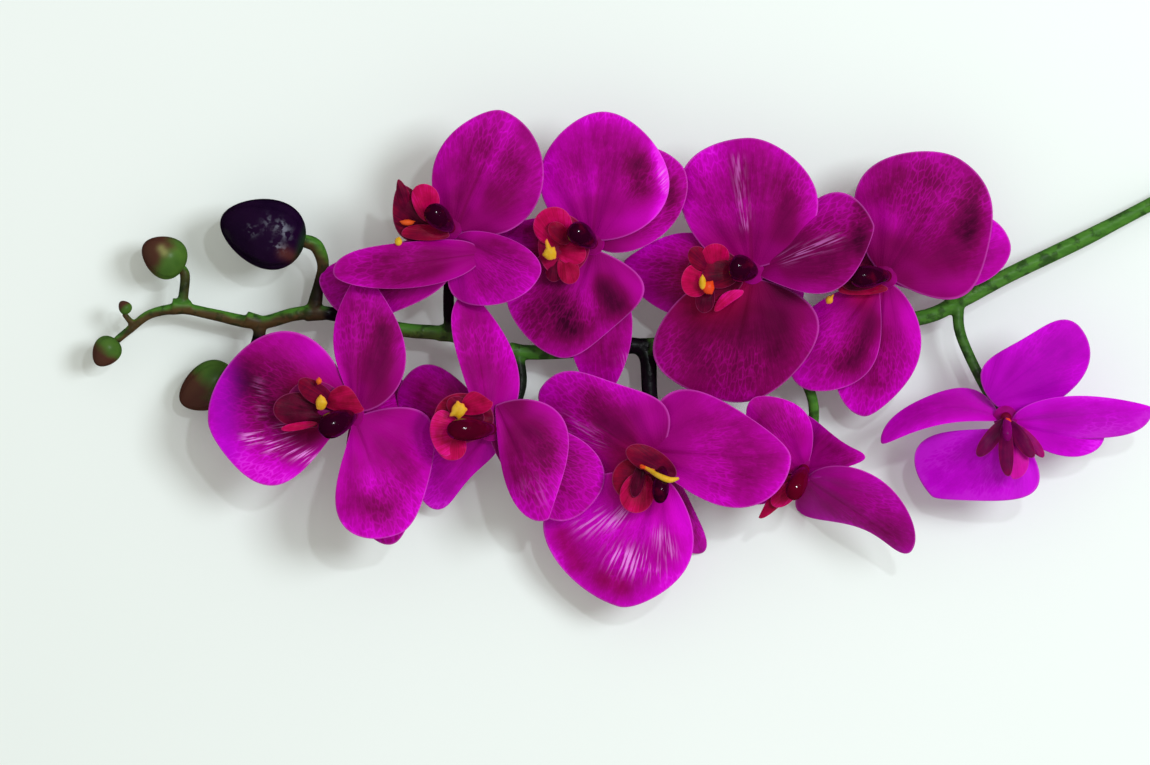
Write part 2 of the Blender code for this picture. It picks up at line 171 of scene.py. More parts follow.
class Finish:
    """A material whose nodes are added one call at a time."""

    def __init__(self, name, roughness):
        self.material = bpy.data.materials.new(name)
        self.material.use_nodes = True
        self.tree = self.material.node_tree
        self.shader = self.tree.nodes["Principled BSDF"]
        self.shader.inputs["Roughness"].default_value = roughness

    def add(self, kind, **settings):
        node = self.tree.nodes.new(kind)
        for setting, value in settings.items():
            setattr(node, setting, value)
        return node

    def feed(self, socket, value):
        """Links another node's value into the socket, or sets a plain one there."""
        if isinstance(value, bpy.types.NodeSocket):
            self.tree.links.new(value, socket)
        else:
            socket.default_value = value

    def maths(self, operation, first, second=0.0, clamp=False):
        node = self.add("ShaderNodeMath", operation=operation, use_clamp=clamp)
        self.feed(node.inputs[0], first)
        self.feed(node.inputs[1], second)
        return node.outputs[0]

    def fade(self, value, low, high, start=0.0, end=1.0):
        """Goes smoothly from start to end while value goes from low to high."""
        node = self.add("ShaderNodeMapRange", interpolation_type="SMOOTHSTEP")
        for socket, given in zip(node.inputs, (value, low, high, start, end)):
            self.feed(socket, given)
        return node.outputs[0]

    def mix(self, share, first, second):
        """A share of the way from the first colour to the second."""
        node = self.add("ShaderNodeMix", data_type="RGBA")
        # The node has sockets A and B for each kind of data: 6, 7 and output 2 are the colours.
        self.feed(node.inputs["Factor"], share)
        self.feed(node.inputs[6], first)
        self.feed(node.inputs[7], second)
        return node.outputs[2]

    def ramp(self, value, colours):
        """Runs through the colours, which are given with the values where they lie."""
        low, high = colours[0][0], colours[-1][0]
        node = self.add("ShaderNodeValToRGB")
        share = self.maths("DIVIDE", self.maths("SUBTRACT", value, low), high - low, clamp=True)
        self.feed(node.inputs[0], share)
        stops = node.color_ramp.elements
        for at, _ in colours[1:-1]:
            stops.new((at - low) / (high - low))
        for stop, (_, colour) in zip(stops, colours):
            stop.color = shade(*colour)
        return node.outputs[0]

    def total(self, *values):
        whole = values[0]
        for value in values[1:]:
            whole = self.maths("ADD", whole, value)
        return whole

    def times(self, value, factor):
        return self.maths("MULTIPLY", value, factor)

    def swing(self, value, depth):
        """A noise that runs from nought to one, moved to lie evenly round nought and scaled."""
        return self.times(self.maths("SUBTRACT", value, 0.5), depth)

    def attribute(self, name):
        """The three parts of a vector that is kept at each point of the mesh."""
        vector = self.add("ShaderNodeAttribute", attribute_name=name).outputs["Vector"]
        parts = self.add("ShaderNodeSeparateXYZ")
        self.feed(parts.inputs[0], vector)
        return parts.outputs[0], parts.outputs[1], parts.outputs[2]

    def vector(self, x, y, z):
        node = self.add("ShaderNodeCombineXYZ")
        for socket, given in zip(node.inputs, (x, y, z)):
            self.feed(socket, given)
        return node.outputs[0]

    def place(self):
        """Where the point lies in the piece's own space, in metres."""
        return self.add("ShaderNodeTexCoord").outputs["Object"]

    def noise(self, where, scale, detail=3.0):
        node = self.add("ShaderNodeTexNoise")
        self.feed(node.inputs["Vector"], where)
        self.feed(node.inputs["Scale"], scale)
        self.feed(node.inputs["Detail"], detail)
        return node.outputs["Fac"]

    def net(self, where, scale):
        """Near nought on the lines between a net's cells, and larger inside them."""
        node = self.add("ShaderNodeTexVoronoi", feature="DISTANCE_TO_EDGE")
        self.feed(node.inputs["Vector"], where)
        self.feed(node.inputs["Scale"], scale)
        return node.outputs["Distance"]

    def bump(self, height, depth, strength=1.0):
        node = self.add("ShaderNodeBump")
        self.feed(node.inputs["Height"], height)
        self.feed(node.inputs["Distance"], depth)
        self.feed(node.inputs["Strength"], strength)
        self.feed(self.shader.inputs["Normal"], node.outputs[0])

    def colour(self, value):
        self.feed(self.shader.inputs["Base Color"], value)

    def set(self, **sockets):
        """Sets sockets of the shader itself, named with _ for each space."""
        for socket, value in sockets.items():
            self.shader.inputs[socket.replace("_", " ")].default_value = value


print("a screen's middle grey in linear numbers:", round(shade(128, 128, 128)[0], 3))

# %% [markdown]
# ## The table
# A plain pale surface, only there to catch the shadows. It could be a big box, but one flat face
# does the same.

# %% Table
TABLE_HALF_WIDTH = 6    # in metres


def table():
    finish = Finish("table_finish", 0.6)
    cloud = finish.noise(finish.place(), 3.0)
    finish.colour(finish.mix(cloud, shade(226, 232, 229), shade(236, 240, 239)))
    # A faint glow of its own keeps the shadows between the blooms as light as in the picture.
    finish.set(Emission_Color=(1, 1, 0.97, 1), Emission_Strength=0.05)
    bm = bmesh.new()
    bmesh.ops.create_grid(bm, x_segments=1, y_segments=1, size=TABLE_HALF_WIDTH)
    mesh = bpy.data.meshes.new("table")
    bm.to_mesh(mesh)
    bm.free()
    mesh.materials.append(finish.material)
    top = bpy.data.objects.new("table", mesh)
    bpy.context.scene.collection.objects.link(top)
    # Mirrored in the dark glossy parts, a white table would draw pale rims round them.
    top.visible_glossy = False
    print("the table is", 2 * TABLE_HALF_WIDTH, "metres wide")


table()

# %% [markdown]
# ## Petal finish
# A moth orchid's petal runs from maroon in its throat through deep magenta to a bright violet
# margin, with a mottled net of paler veins that fans out from its foot. A thin pale rim of painted
# light runs along the margin, and a dark line of painted shade lies in the groove over the midrib.
# One number, the tone, carries the pattern: its parts are added up, and a colour ramp turns the sum
# into a colour. The tone also carries painted light and shade, lighter where a petal faces the
# light and darker where it lies in shade. The veins follow the blade, so the mesh keeps vectors at
# each point: "fan" is the reach from the foot, the angle there and the nearness to the margin,
# "place" is how far along and across the point lies and its tone, and "marks" holds the painted
# highlights, redness and a seed.

# %% Petal finish
PETAL_TONES = [
    (-1.3, (56, 0, 34)), (-1.0, (84, 0, 52)), (-0.5, (120, 0, 80)), (0.0, (158, 0, 126)),
    (0.5, (188, 0, 168)), (1.0, (218, 4, 212)), (1.3, (232, 40, 228)),
]


def petal_finish():
    finish = Finish("petal_finish", 0.5)
    times, swing, total, fade = finish.times, finish.swing, finish.total, finish.fade
    reach, angle, margin = finish.attribute("fan")
    along, across, tone = finish.attribute("place")
    painted_highlight, red, seed = finish.attribute("marks")

    # Veins that fan out from the foot, and rays of painted highlight, drawn as noise that is stretched
    # along them.
    streak = finish.noise(finish.vector(times(reach, 3.0), times(angle, 12.0), seed), 1.6, 3.0)
    vein = finish.noise(finish.vector(times(reach, 2.6), times(angle, 14.0), seed), 2.2, 4.0)
    net = finish.maths("ABSOLUTE", finish.maths("SUBTRACT", vein, 0.5))
    highlight_ray_noise = finish.noise(finish.vector(times(reach, 2.0), times(angle, 20.0), seed), 2.2, 2.0)

    # Blotches, flecks and the net of pale lines, which is faint where the blotches are dark.
    cloud = finish.noise(finish.place(), 40.0, 2.0)
    fleck = finish.noise(finish.place(), 420.0, 4.0)
    warp = finish.noise(finish.place(), 140.0, 2.0)
    cells = finish.vector(times(reach, 11.0), times(angle, 26.0), total(seed, times(warp, 2.2)))
    lines = times(fade(finish.net(cells, 1.0), 0.16, 0.02, 0.0, 0.34), fade(cloud, 0.4, 0.56))
    veined = total(swing(streak, 0.55), fade(net, 0.03, 0.0, 0.0, 0.2), lines)
    mottle = times(fade(along, 0.15, 0.6), total(veined, swing(fleck, 0.5)))

    # A brighter margin, a dark throat, and painted shade along the groove over the midrib.
    edge = fade(margin, 0.5, 1.0, -0.12, 0.36)
    throat = fade(along, 0.2, 0.02, 0.0, -0.45)
    midrib_shade = times(fade(finish.maths("ABSOLUTE", across), 0.0, 0.05, -0.16, 0.0), fade(along, 0.9, 0.5))
    body = finish.ramp(total(tone, -0.1, edge, throat, midrib_shade, mottle, swing(cloud, 1.4)), PETAL_TONES)

    violet = finish.mix(fade(red, 0.0, -1.0), body, shade(178, 4, 214))
    crimson = finish.mix(fade(red, 0.0, 1.0), violet, shade(168, 0, 62))
    # Painted highlight: pale rays where ridges on the petal catch the light.
    highlight_rays = times(fade(highlight_ray_noise, 0.48, 0.62), finish.maths("MINIMUM", painted_highlight, 1.0))
    lit = finish.mix(times(highlight_rays, 0.9), crimson, shade(240, 140, 238))
    # A thin pale rim of painted light along the margin.
    finish.colour(finish.mix(fade(margin, 0.97, 0.994, 0.0, 0.34), lit, shade(226, 92, 212)))
    grain = finish.noise(finish.place(), 1400.0, 2.0)
    finish.bump(total(times(streak, 1.2), times(grain, 0.4)), 0.0003, 0.5)
    finish.set(Specular_IOR_Level=0.06)
    return finish.material


PETAL_FINISH = petal_finish()
print("the petal finish has", len(PETAL_FINISH.node_tree.nodes), "nodes")

# %% [markdown]
# ## The blooms' layout
# A tepal is a blade that runs from its foot, the base, to its tip, both measured from the bloom's
# centre. Its outline is given as it is seen from above: how far it reaches to the left and to the
# right of that line at three stations along it. Roll tips it sideways, the arch lifts its middle,
# the cup lets its sides drop, and lean bows it sideways. A petal is broad, a sepal is narrower.

# %% Layout of the blooms
PETAL_CELLS = 46
SEPAL_CELLS = 38
Blade = namedtuple("Blade", "tip left right roll arch cup base lean cells")
Bloom = namedtuple("Bloom", "centre tepals")


def petal(tip, left, right, roll=0, base=(0, 0, 0), arch=2, cup=2.5, lean=0):
    return Blade(tip, left, right, roll, arch, cup, base, lean, PETAL_CELLS)


def sepal(tip, left, right, roll=0, base=(0, 0, -1.5), arch=2, cup=1.5, lean=0):
    return Blade(tip, left, right, roll, arch, cup, base, lean, SEPAL_CELLS)


BLOOMS = {
    "a": Bloom((-82.5, -12.4, 32), [
        petal((-53.5, -1.5, -5), (11.5, 24.5, 18.5), (26.5, 32, 23), base=(-0.5, 0, 0)),
        petal((17.4, -43.6, 2), (25.5, 23, 13.5), (6.5, 16, 17.5), roll=-14, base=(0.5, -0.5, 0)),
        sepal((3.5, 53.5, -2), (5, 9.5, 6.5), (15.5, 17, 9.5), base=(1.5, 1.5, -0.5)),
        sepal((15, -47.5, -8), (14, 17, 11), (6, 10, 9), base=(0.5, -1.5, -1.5)),
        sepal((20, 11, -28), (9, 12, 9), (9, 12, 9)),
    ]),
    "b": Bloom((-31.1, -17.2, 31), [
        petal((-34.5, 15, -18), (8, 14, 11), (7.5, 12, 13)),
        petal((21, -33.5, 5), (18.5, 19, 9), (4, 8, 8.5), base=(2, 9, 0.5)),
        sepal((-8.5, 50.5, -3), (5, 7.5, 8), (12, 13, 7.5), roll=20, base=(0, 0, 0)),
        sepal((-23.5, -29, -22), (7, 5.5, 5.5), (10, 14, 12)),
        sepal((40.5, -23.5, -4), (9, 13, 12), (9, 16, 17.5)),
    ]),
    "c": Bloom((-46.3, 57.2, 34), [
        petal((20.5, 43, 2), (13, 17, 12), (20, 24, 18.5), base=(2, -1, 0)),
        petal((-43, -16.8, 3), (7.8, 9.2, 6.7), (6.7, 7.8, 7.4), base=(12, -9.6, 2.6), arch=3.2, cup=1.5),
        petal((33.5, -17.5, 8), (5.5, 7.5, 6.5), (19.5, 20, 14), roll=10, base=(2.5, -3.5, 0)),
        sepal((-48.5, -21, -16), (16.5, 19, 17.5), (4, 5, 6), base=(1, -3, -1.5)),
        sepal((20, -8, -29), (9, 12, 9), (9, 12, 9)),
    ]),
    "d": Bloom((6.3, 51.6, 30), [
        petal((5.5, 48.5, 2), (17.5, 22, 16), (21, 26, 18.5), roll=-8, base=(0, 1, 0)),
        petal((-13.5, -42, -8), (23, 19, 11.5), (17, 25.5, 20), base=(0.5, -2, 0)),
        sepal((32.5, 29.5, 2.6), (12, 18, 16.5), (11, 14.5, 11.5), base=(1.5, -1, -1.5)),
        sepal((5, -56, -13), (9, 12.5, 8.5), (9, 12, 9.5), base=(0, -2, -1.5)),
        sepal((-38.5, 1, -12), (6, 9, 8), (7, 9, 6)),
    ]),
    "e": Bloom((65.5, 40.9, 32), [
        petal((-2.5, 49.5, 2), (18.5, 25, 23), (20, 25.5, 18.5), roll=-9, base=(0, 1.5, 0)),
        petal((-9, -48, -7), (26.5, 26.5, 18), (22, 30, 29), base=(0, -2, 0)),
        sepal((44.5, 17.5, 12), (8, 14, 16.5), (10, 17.5, 11.5), roll=-22),
        sepal((-47.5, 3.5, -16), (16, 18.5, 13), (9, 13, 8), base=(-1.5, 0, -1.5)),
        sepal((19, -11, -27), (8, 11, 8), (8, 11, 8)),
    ]),
    "f": Bloom((115.1, 39.4, 26), [
        petal((28, 43, 3), (20, 27.5, 20), (28.5, 27.5, 20.5)),
        petal((-32, -40.5, -5), (8.5, 17, 14), (8, 14, 12), base=(-2.5, -1.5, 0)),
        sepal((46.5, 12.5, -6), (8, 13.5, 13.5), (8, 12, 10.5)),
        sepal((-8, -52, -10), (13, 17, 11), (9, 14, 12), base=(0, -2, -1.5)),
        sepal((-24, 14, -21), (8, 11, 8), (8, 11, 8)),
    ]),
    "g": Bloom((32.2, -31.6, 30), [
        petal((-16.5, -51.5, -10), (14.5, 20.5, 14.5), (26, 36, 28), roll=10, base=(-1, -2.5, 0)),
        petal((47.5, 3, 10), (23, 20.5, 11.5), (10, 18, 17), base=(-7, 6.5, 0)),
        petal((-45, 29.5, -9), (12.5, 16, 11), (20, 17.5, 13.5), roll=-20, base=(-2.5, 2, 0)),
        sepal((15.5, -32, -28), (4.5, 4.5, 4), (6, 9, 7), base=(0.5, -3, -1.5)),
        sepal((20, 16, -28), (9, 12, 9), (9, 12, 9)),
    ]),
    "h": Bloom((84.7, -32.4, 24), [
        petal((40, -30, 2), (12, 15, 11), (11.5, 5, 3), roll=45, base=(1, -3, 0)),
        petal((-19, 26.5, 5), (8, 9, 7), (9, 13, 9)),
        sepal((22.5, 5, 12), (20, 13, 5), (4, 3, 2), roll=-30, base=(0, 0, -0.5)),
        sepal((28, -10, -14), (5, 6, 5), (5, 6, 5)),
        sepal((-34, -4, -14), (8, 11, 8), (8, 11, 8)),
    ]),
    "i": Bloom((159.1, -13.1, 34), [
        petal((27.5, 33.5, 2), (12, 10.5, 8.5), (13, 16, 14), base=(-5.5, 6.5, -1)),
        petal((-27, -28.8, -16), (23.5, 20, 9.5), (5, 14, 16.5), base=(2.5, -2.5, 0)),
        sepal((-46, -9, -2), (4.5, 6, 4.5), (8, 5.5, 4.5), roll=45, base=(-2, 0, -0.5), lean=-8),
        sepal((54.5, 3.5, -2), (6.5, 7, 4), (7, 9, 9), roll=42, base=(2.5, -1, 0)),
        sepal((37.5, -7, -14), (5, 6, 5), (6, 9, 8), base=(3.5, -2.5, -1.5)),
    ]),
}
print(len(BLOOMS), "blooms with", sum(len(bloom.tepals) for bloom in BLOOMS.values()), "tepals")

# %% [markdown]
# ## One blade
# A petal could be cut from a flat outline, but a square grid that is pressed into a round one
# keeps even faces right to the margin. The grid gets its thickness while it is flat. Then one
# rule bends every point: the outline, the arch along its length, the drop of its sides, a waved
# margin, a groove over the midrib and soft pleats at its foot. The thickness thins out to the
# margin, as on the real petal.

# %% Outline of a blade
STATIONS = (0.2, 0.5, 0.8)
LEAST_FULLNESS = 1.0    # keeps a blade's foot from pinching to nothing


def round_margin(along):
    """Half the width of a round disc whose whole width is two, at a share of the way across it."""
    return 2 * math.sqrt(along * (1 - along))


def fullness(widths, along):
    """What a round blade is widened by at a share of its length, to pass through the given widths."""
    near, middle, far = (width / round_margin(at) for width, at in zip(widths, STATIONS))
    step = (along - STATIONS[1]) / (STATIONS[2] - STATIONS[1])
    bow = (near + far) / 2 - middle
    return max(LEAST_FULLNESS, middle + step * (far - near) / 2 + step * step * bow)


print("a round blade's half-widths:", [round(round_margin(at), 2) for at in STATIONS])

# %% One blade
THICKNESS = 0.9
THIN_EDGE = 0.3         # share of the thickness that is left at the margin
FAN_UNIT = 50           # millimetres from the foot that count as one
FAN_START = 4           # how far behind the foot the veins' fan starts, in millimetres
DENT_DEPTH = 1.6        # depths and widths of the skin's relief, in millimetres
DENT_WIDTH = 14
GROOVE_DEPTH = 0.45
GROOVE_WIDTH = 1.4
PLEAT_DEPTH = 0.32
PLEAT_COUNT = 15        # in a whole turn round the foot
LAYERS = ("fan", "place", "marks")


def new_layers(bm):
    """The vectors that a finish reads at each point of the mesh."""
    return [bm.verts.layers.float_vector.new(name) for name in LAYERS]


def layer(bm, name):
    return bm.verts.layers.float_vector[name]


def blade(leaf, seed, wave=0.6, tone=0.0, red=0.0):
    """A leaf's bent blade in its bloom's own space, with what its finish reads at each point."""
    bm = bmesh.new()
    fan, place, marks = new_layers(bm)
    bmesh.ops.create_grid(bm, x_segments=leaf.cells, y_segments=leaf.cells, size=1)
    bmesh.ops.solidify(bm, geom=bm.faces[:], thickness=1)
    top = max(vert.co.z for vert in bm.verts)
    base, tip = Vector(leaf.base), Vector(leaf.tip)
    forward = (tip - base).to_2d()
    leftward = Vector((-forward.y, forward.x)).normalized()
    slope = math.tan(math.radians(leaf.roll))
    for vert in bm.verts:
        u, v, depth = vert.co
        disc_x, disc_y = u * math.sqrt(1 - v * v / 2), v * math.sqrt(1 - u * u / 2)
        margin = math.hypot(disc_x, disc_y)
        along = (1 + disc_x) / 2
        widths = leaf.left if disc_y > 0 else leaf.right
        side = disc_y * fullness(widths, along)
        hump = 4 * along * (1 - along)
        spot = base.to_2d() + forward * along + leftward * (side + leaf.lean * hump)
        height = base.z + (tip.z - base.z) * along + leaf.arch * hump + side * slope
        height -= leaf.cup * (side / widths[1]) ** 2
        height += surface_rise(wave, along, side, margin, math.atan2(disc_y, disc_x), seed)
        thinning = THIN_EDGE + (1 - THIN_EDGE) * math.sqrt(max(0, 1 - margin ** 6))
        height += (depth - top) * THICKNESS * math.hypot(1, slope) * thinning
        vert.co = (spot.x, spot.y, height)
        out = along * forward.length
        vert[fan] = (math.hypot(out, side) / FAN_UNIT, math.atan2(side, out + FAN_START), margin)
        vert[place] = (along, disc_y, tone)
        vert[marks] = (0, red, seed.y)
    bmesh.ops.recalc_face_normals(bm, faces=bm.faces[:])
    return bm


def surface_rise(wave, along, side, margin, turn, seed):
    """How far the blade's skin stands off its plain arch, in millimetres."""
    waves = margin ** 3 * math.sin(3 * turn + seed.x) + 0.5 * margin ** 4 * math.sin(7 * turn + seed.y)
    dents = DENT_DEPTH * noise.noise(Vector((along * 2.2, side / DENT_WIDTH, 0)) + seed) * min(1, along * 3)
    groove = GROOVE_DEPTH * math.exp(-(side / GROOVE_WIDTH) ** 2) * max(0, 1 - along) * min(1, along * 6)
    pleats = PLEAT_DEPTH * math.sin(math.atan2(side, along * 40 + 3) * PLEAT_COUNT)
    pleats *= math.exp(-((along - 0.3) / 0.2) ** 2)
    return wave * (waves * along + dents) - groove + pleats


def gather(target, bm):
    """Adds bm's mesh to target's and frees it."""
    mesh = bpy.data.meshes.new("gathered")
    bm.to_mesh(mesh)
    bm.free()
    target.from_mesh(mesh)
    bpy.data.meshes.remove(mesh)


print("a petal's grid has", PETAL_CELLS ** 2, "cells on each side, and a sepal's", SEPAL_CELLS ** 2)

# %% [markdown]
# ## Marks on the petals
# Light and shade fall on each petal in its own way: one has a dark patch of painted shade in a
# hollow, another pale rays of painted highlight where it catches the light. They could be painted
# on a picture, but a soft patch that is kept at the mesh's own points needs none. Each mark is such
# a patch round a line between two pixels, given as the four numbers of the line, the patch's reach
# in pixels and its strength. A tone mark brightens, or darkens below nought, and is partly the
# petal's own patchy colour and partly painted light and shade. A highlight mark shows pale rays of
# painted highlight, and a red mark turns the hue to crimson, or to violet below nought. The marks
# are listed by tepal, as its bloom's letter and its number.

# %% Marks
# A whole tepal's tone is partly its own colour and partly painted light and shade: a tepal that faces away
# from the light is darker.
TEPAL_TONES = {         # how bright a whole tepal is
    "a0": 0.15, "a1": 0.1, "a2": -0.1, "a3": -0.35, "b0": -0.1, "b3": 0.3, "b4": -0.25,
    "c0": -0.2, "c1": -0.15, "c3": -0.15, "d0": 0.2, "d1": -0.1, "d2": -0.2, "e1": -0.6,
    "e2": -0.25, "f0": -0.35, "f2": 0.2, "g0": 0.6, "g1": 0.1, "h0": 0.1, "i0": 0.2, "i1": 1.0,
    "i2": 0.5, "i3": 0.9, "i4": 0.5,
}
TEPAL_REDS = {          # and how red, or how violet below nought
    "b3": -0.15, "e1": 0.1, "f2": -0.1, "i0": -0.45, "i1": -0.5, "i2": -0.3, "i3": -0.4, "i4": -0.4,
}
MARKS = {
    "a0": {
        "painted_highlight": [(248, 438, 286, 431, 6, 1.2), (268, 446, 312, 457, 6, 1.1),
                  (258, 384, 262, 414, 5, 0.2)],
        "tone": [(242, 380, 290, 402, 34, -1.0), (222, 448, 300, 480, 15, 0.5)],
        "red": [(215, 360, 225, 450, 24, -0.5)],
    },
    "a1": {"tone": [(364, 455, 372, 482, 14, 0.35), (376, 505, 386, 520, 16, -0.4)]},
    "a2": {"tone": [(385, 335, 378, 385, 18, -0.4)]},
    "a3": {"painted_highlight": [(345, 455, 346, 462, 5, 0.8)]},
    "b1": {
        "tone": [(545, 440, 550, 462, 17, -0.55), (512, 398, 534, 422, 16, -0.4),
                 (525, 490, 540, 505, 12, -0.3), (515, 420, 520, 470, 12, -0.25)],
        "painted_highlight": [(530, 486, 545, 496, 9, 0.1)],
    },
    "b3": {"tone": [(465, 450, 440, 500, 22, 0.3)]},
    "d0": {
        "tone": [(655, 145, 667, 185, 6, 0.9), (668, 190, 656, 220, 6, 0.6), (584, 112, 592, 190, 5, 0.3),
                 (641, 165, 640, 185, 15, -0.9)],
        "painted_highlight": [(662, 172, 666, 190, 4, 0.7)],
    },
    "d1": {
        "tone": [(558, 304, 570, 326, 16, -0.95), (604, 288, 618, 304, 15, -0.95),
                 (585, 280, 590, 300, 10, 0.4), (530, 315, 535, 330, 16, -0.6)],
    },
    "d3": {"painted_highlight": [(624, 360, 632, 372, 5, 0.6)]},
    "d2": {"tone": [(672, 185, 673, 218, 8, -0.5)]},
    "d4": {"tone": [(510, 240, 530, 243, 9, 0.5)]},
    "c0": {"tone": [(511, 122, 474, 205, 6, 0.35), (455, 150, 450, 185, 12, 0.25)]},
    "e0": {
        "painted_highlight": [(737, 160, 745, 225, 5, 0.38)],
        "tone": [(798, 180, 790, 235, 14, -0.4), (712, 150, 722, 190, 11, 0.25)],
    },
    "e3": {"tone": [(668, 268, 690, 275, 18, -0.35)]},
    "e2": {"tone": [(862, 208, 860, 245, 13, -0.8)], "painted_highlight": [(785, 258, 835, 240, 6, 0.42)]},
    "f0": {
        "tone": [(976, 190, 970, 235, 12, -0.6), (945, 196, 935, 216, 13, 0.25),
                 (882, 212, 890, 222, 13, 0.5), (925, 168, 935, 182, 12, -0.35)],
    },
    "f1": {"tone": [(878, 322, 850, 362, 17, -0.75)]},
    "f3": {"tone": [(884, 330, 884, 380, 12, -0.3)]},
    "g0": {
        "tone": [(590, 518, 650, 520, 20, 0.3), (560, 535, 575, 565, 13, -0.6),
                 (602, 580, 622, 588, 13, -0.7), (690, 495, 702, 532, 8, -0.6)],
        "painted_highlight": [(620, 560, 640, 563, 11, 1.5), (650, 565, 658, 572, 7, 0.9),
                  (585, 526, 600, 520, 9, 0.8), (614, 523, 622, 515, 6, 1.0),
                  (662, 537, 668, 552, 8, 0.7)],
        "red": [(560, 535, 575, 565, 14, 0.35), (602, 580, 622, 588, 13, 0.35)],
    },
    "g2": {"painted_highlight": [(560, 420, 600, 440, 7, 0.25)], "tone": [(590, 400, 612, 440, 16, -0.35)]},
}
# Round its lip a bloom's petals are darker and redder: the middle of that patch and its reach.
THROATS = {
    "a": ((312, 404), 30), "b": ((455, 425), 24), "c": ((425, 225), 16), "d": ((556, 246), 26),
    "e": ((712, 280), 38), "f": ((862, 284), 22), "g": ((634, 478), 34), "h": ((790, 485), 16),
    "i": ((1008, 435), 15),
}
THROAT_TONE = -0.5
THROAT_RED = 0.75
# The layer and the part of its vector that each kind of mark is kept in.
MARK_PLACES = {"tone": ("place", (0, 0, 1)), "painted_highlight": ("marks", (1, 0, 0)), "red": ("marks", (0, 1, 0))}


def clamped(value):
    return min(1, max(0, value))


def marked(bm, marks):
    """Adds soft marks, given by kind, to the points of bm, which lie in the plan."""
    for kind, rows in marks.items():
        kept, part = MARK_PLACES[kind]
        kept = layer(bm, kept)
        for left, top, right, bottom, reach, strength in rows:
            start = seen(left, top)
            line = seen(right, bottom) - start
            for vert in bm.verts:
                off = vert.co.to_2d() - start
                share = clamped(off.dot(line) / max(line.length_squared, 0.01))
                distance = (off - line * share).length / (reach * PIXEL)
                vert[kept] += Vector(part) * strength * math.exp(-distance ** 2)


print(sum(len(rows) for marks in MARKS.values() for rows in marks.values()), "marks")

# %% [markdown]
# ## Petals of each bloom
# All five tepals grow from one small rounded foot, so a bloom's tepals and its foot are one piece.
# They could be melted into one skin, but their thin margins would be lost, so each blade only sinks
# its end in the foot.

# %% Petals
HUB_RADIUS = 4.6
HUB_HEIGHT = 0.9        # above the bloom's centre
HUB_DEPTH = 4.5         # below it
HUB_PLACE = (0.5, 1, -0.3)      # past the throat, off the midrib, and a little dark


def rounded(size, segments=32, rings=16):
    """A ball with the layers that the finishes read, drawn out to size along its three axes."""
    bm = bmesh.new()
    fan, _, _ = new_layers(bm)
    bmesh.ops.create_uvsphere(bm, u_segments=segments, v_segments=rings, radius=1)
    for vert in bm.verts:
        vert[fan] = (0, 0, 1 - abs(vert.co.z))
    bmesh.ops.scale(bm, vec=size, verts=bm.verts[:])
    return bm


def hub():
    """The rounded foot that the tepals grow from."""
    bm = rounded((HUB_RADIUS, HUB_RADIUS, HUB_DEPTH))
    place = layer(bm, "place")
    for vert in bm.verts:
        vert.co.z *= HUB_HEIGHT / HUB_DEPTH if vert.co.z > 0 else 1
        vert[place] = HUB_PLACE
    return bm


def tepals_of(letter, bloom):
    whole = hub()
    bmesh.ops.translate(whole, vec=bloom.centre, verts=whole.verts[:])
    middle, reach = THROATS[letter]
    patch = (*middle, *middle, reach)
    throat = {"tone": [(*patch, THROAT_TONE)], "red": [(*patch, THROAT_RED)]}
    for count, tepal in enumerate(bloom.tepals):
        key = f"{letter}{count}"
        # Numbers that no other tepal has, so that each one gets its own dents and veins.
        seed = Vector((ord(letter) * 1.7, count * 3.1 + ord(letter) * 0.7, ord(letter) + count))
        bm = blade(tepal, seed, tone=TEPAL_TONES.get(key, 0), red=TEPAL_REDS.get(key, 0))
        bmesh.ops.translate(bm, vec=bloom.centre, verts=bm.verts[:])
        marked(bm, MARKS.get(key, {}))
        marked(bm, throat)
        gather(whole, bm)
    piece_from(whole, f"bloom_{letter}_tepals", PETAL_FINISH, [f"petals_{letter}"])


for letter, bloom in BLOOMS.items():
    tepals_of(letter, bloom)

# %% [markdown]
# ## Lips
# The lip is the odd third petal: a few fleshy lobes, dark maroon inside and crimson to pink where
# they fold up into the light. They could be sculpted, but small blades, made as the petals are,
# give the same folds from a few numbers. Each lip has turned in its own way, so its lobes are given
# one by one: the pixels of foot and tip, the half-widths to the left and right in pixels, how high
# foot and tip are above the bloom's centre in millimetres, how bright the lobe is, and how violet.
# How bright a lobe is, and the darkening towards its foot, are partly the lip's own colour and
# partly painted light and shade: lighter where a lobe rises into the light, darker deep inside.

# %% Lip finish
LIP_TONES = [
    (-1.0, (50, 0, 22)), (-0.5, (90, 0, 40)), (0.0, (134, 0, 44)), (0.5, (182, 0, 76)),
    (1.0, (224, 14, 138)),
]


def lip_finish():
    finish = Finish("lip_finish", 0.4)
    times, total, fade = finish.times, finish.total, finish.fade
    reach, angle, margin = finish.attribute("fan")
    along, _, tone = finish.attribute("place")
    _, violet, _ = finish.attribute("marks")
    cloud = finish.noise(finish.place(), 260.0, 3.0)
    veins = finish.noise(finish.vector(reach, times(angle, 14.0), tone), 3.0, 3.0)
    uneven = times(finish.maths("SUBTRACT", total(cloud, veins), 1.0), 0.9)
    edge = fade(margin, 0.4, 1.0, -0.05, 0.12)
    # Darker towards the foot: partly the lip's own colour, partly painted shade deep inside the lip.
    foot = fade(along, 0.4, 0.0, 0.0, -0.4)
    body = finish.ramp(total(tone, uneven, edge, foot), LIP_TONES)
    hued = finish.mix(times(violet, 0.8), body, shade(184, 10, 168))
    # A thin pale rim of painted light along each lobe's margin.
    finish.colour(finish.mix(fade(margin, 0.95, 1.0, 0.0, 0.22), hued, shade(224, 96, 170)))
    finish.bump(finish.noise(finish.place(), 900.0), 0.0002, 0.5)
    finish.set(Specular_IOR_Level=0.1)
    return finish.material


LIP_FINISH = lip_finish()
print("the lip finish has", len(LIP_FINISH.node_tree.nodes), "nodes")

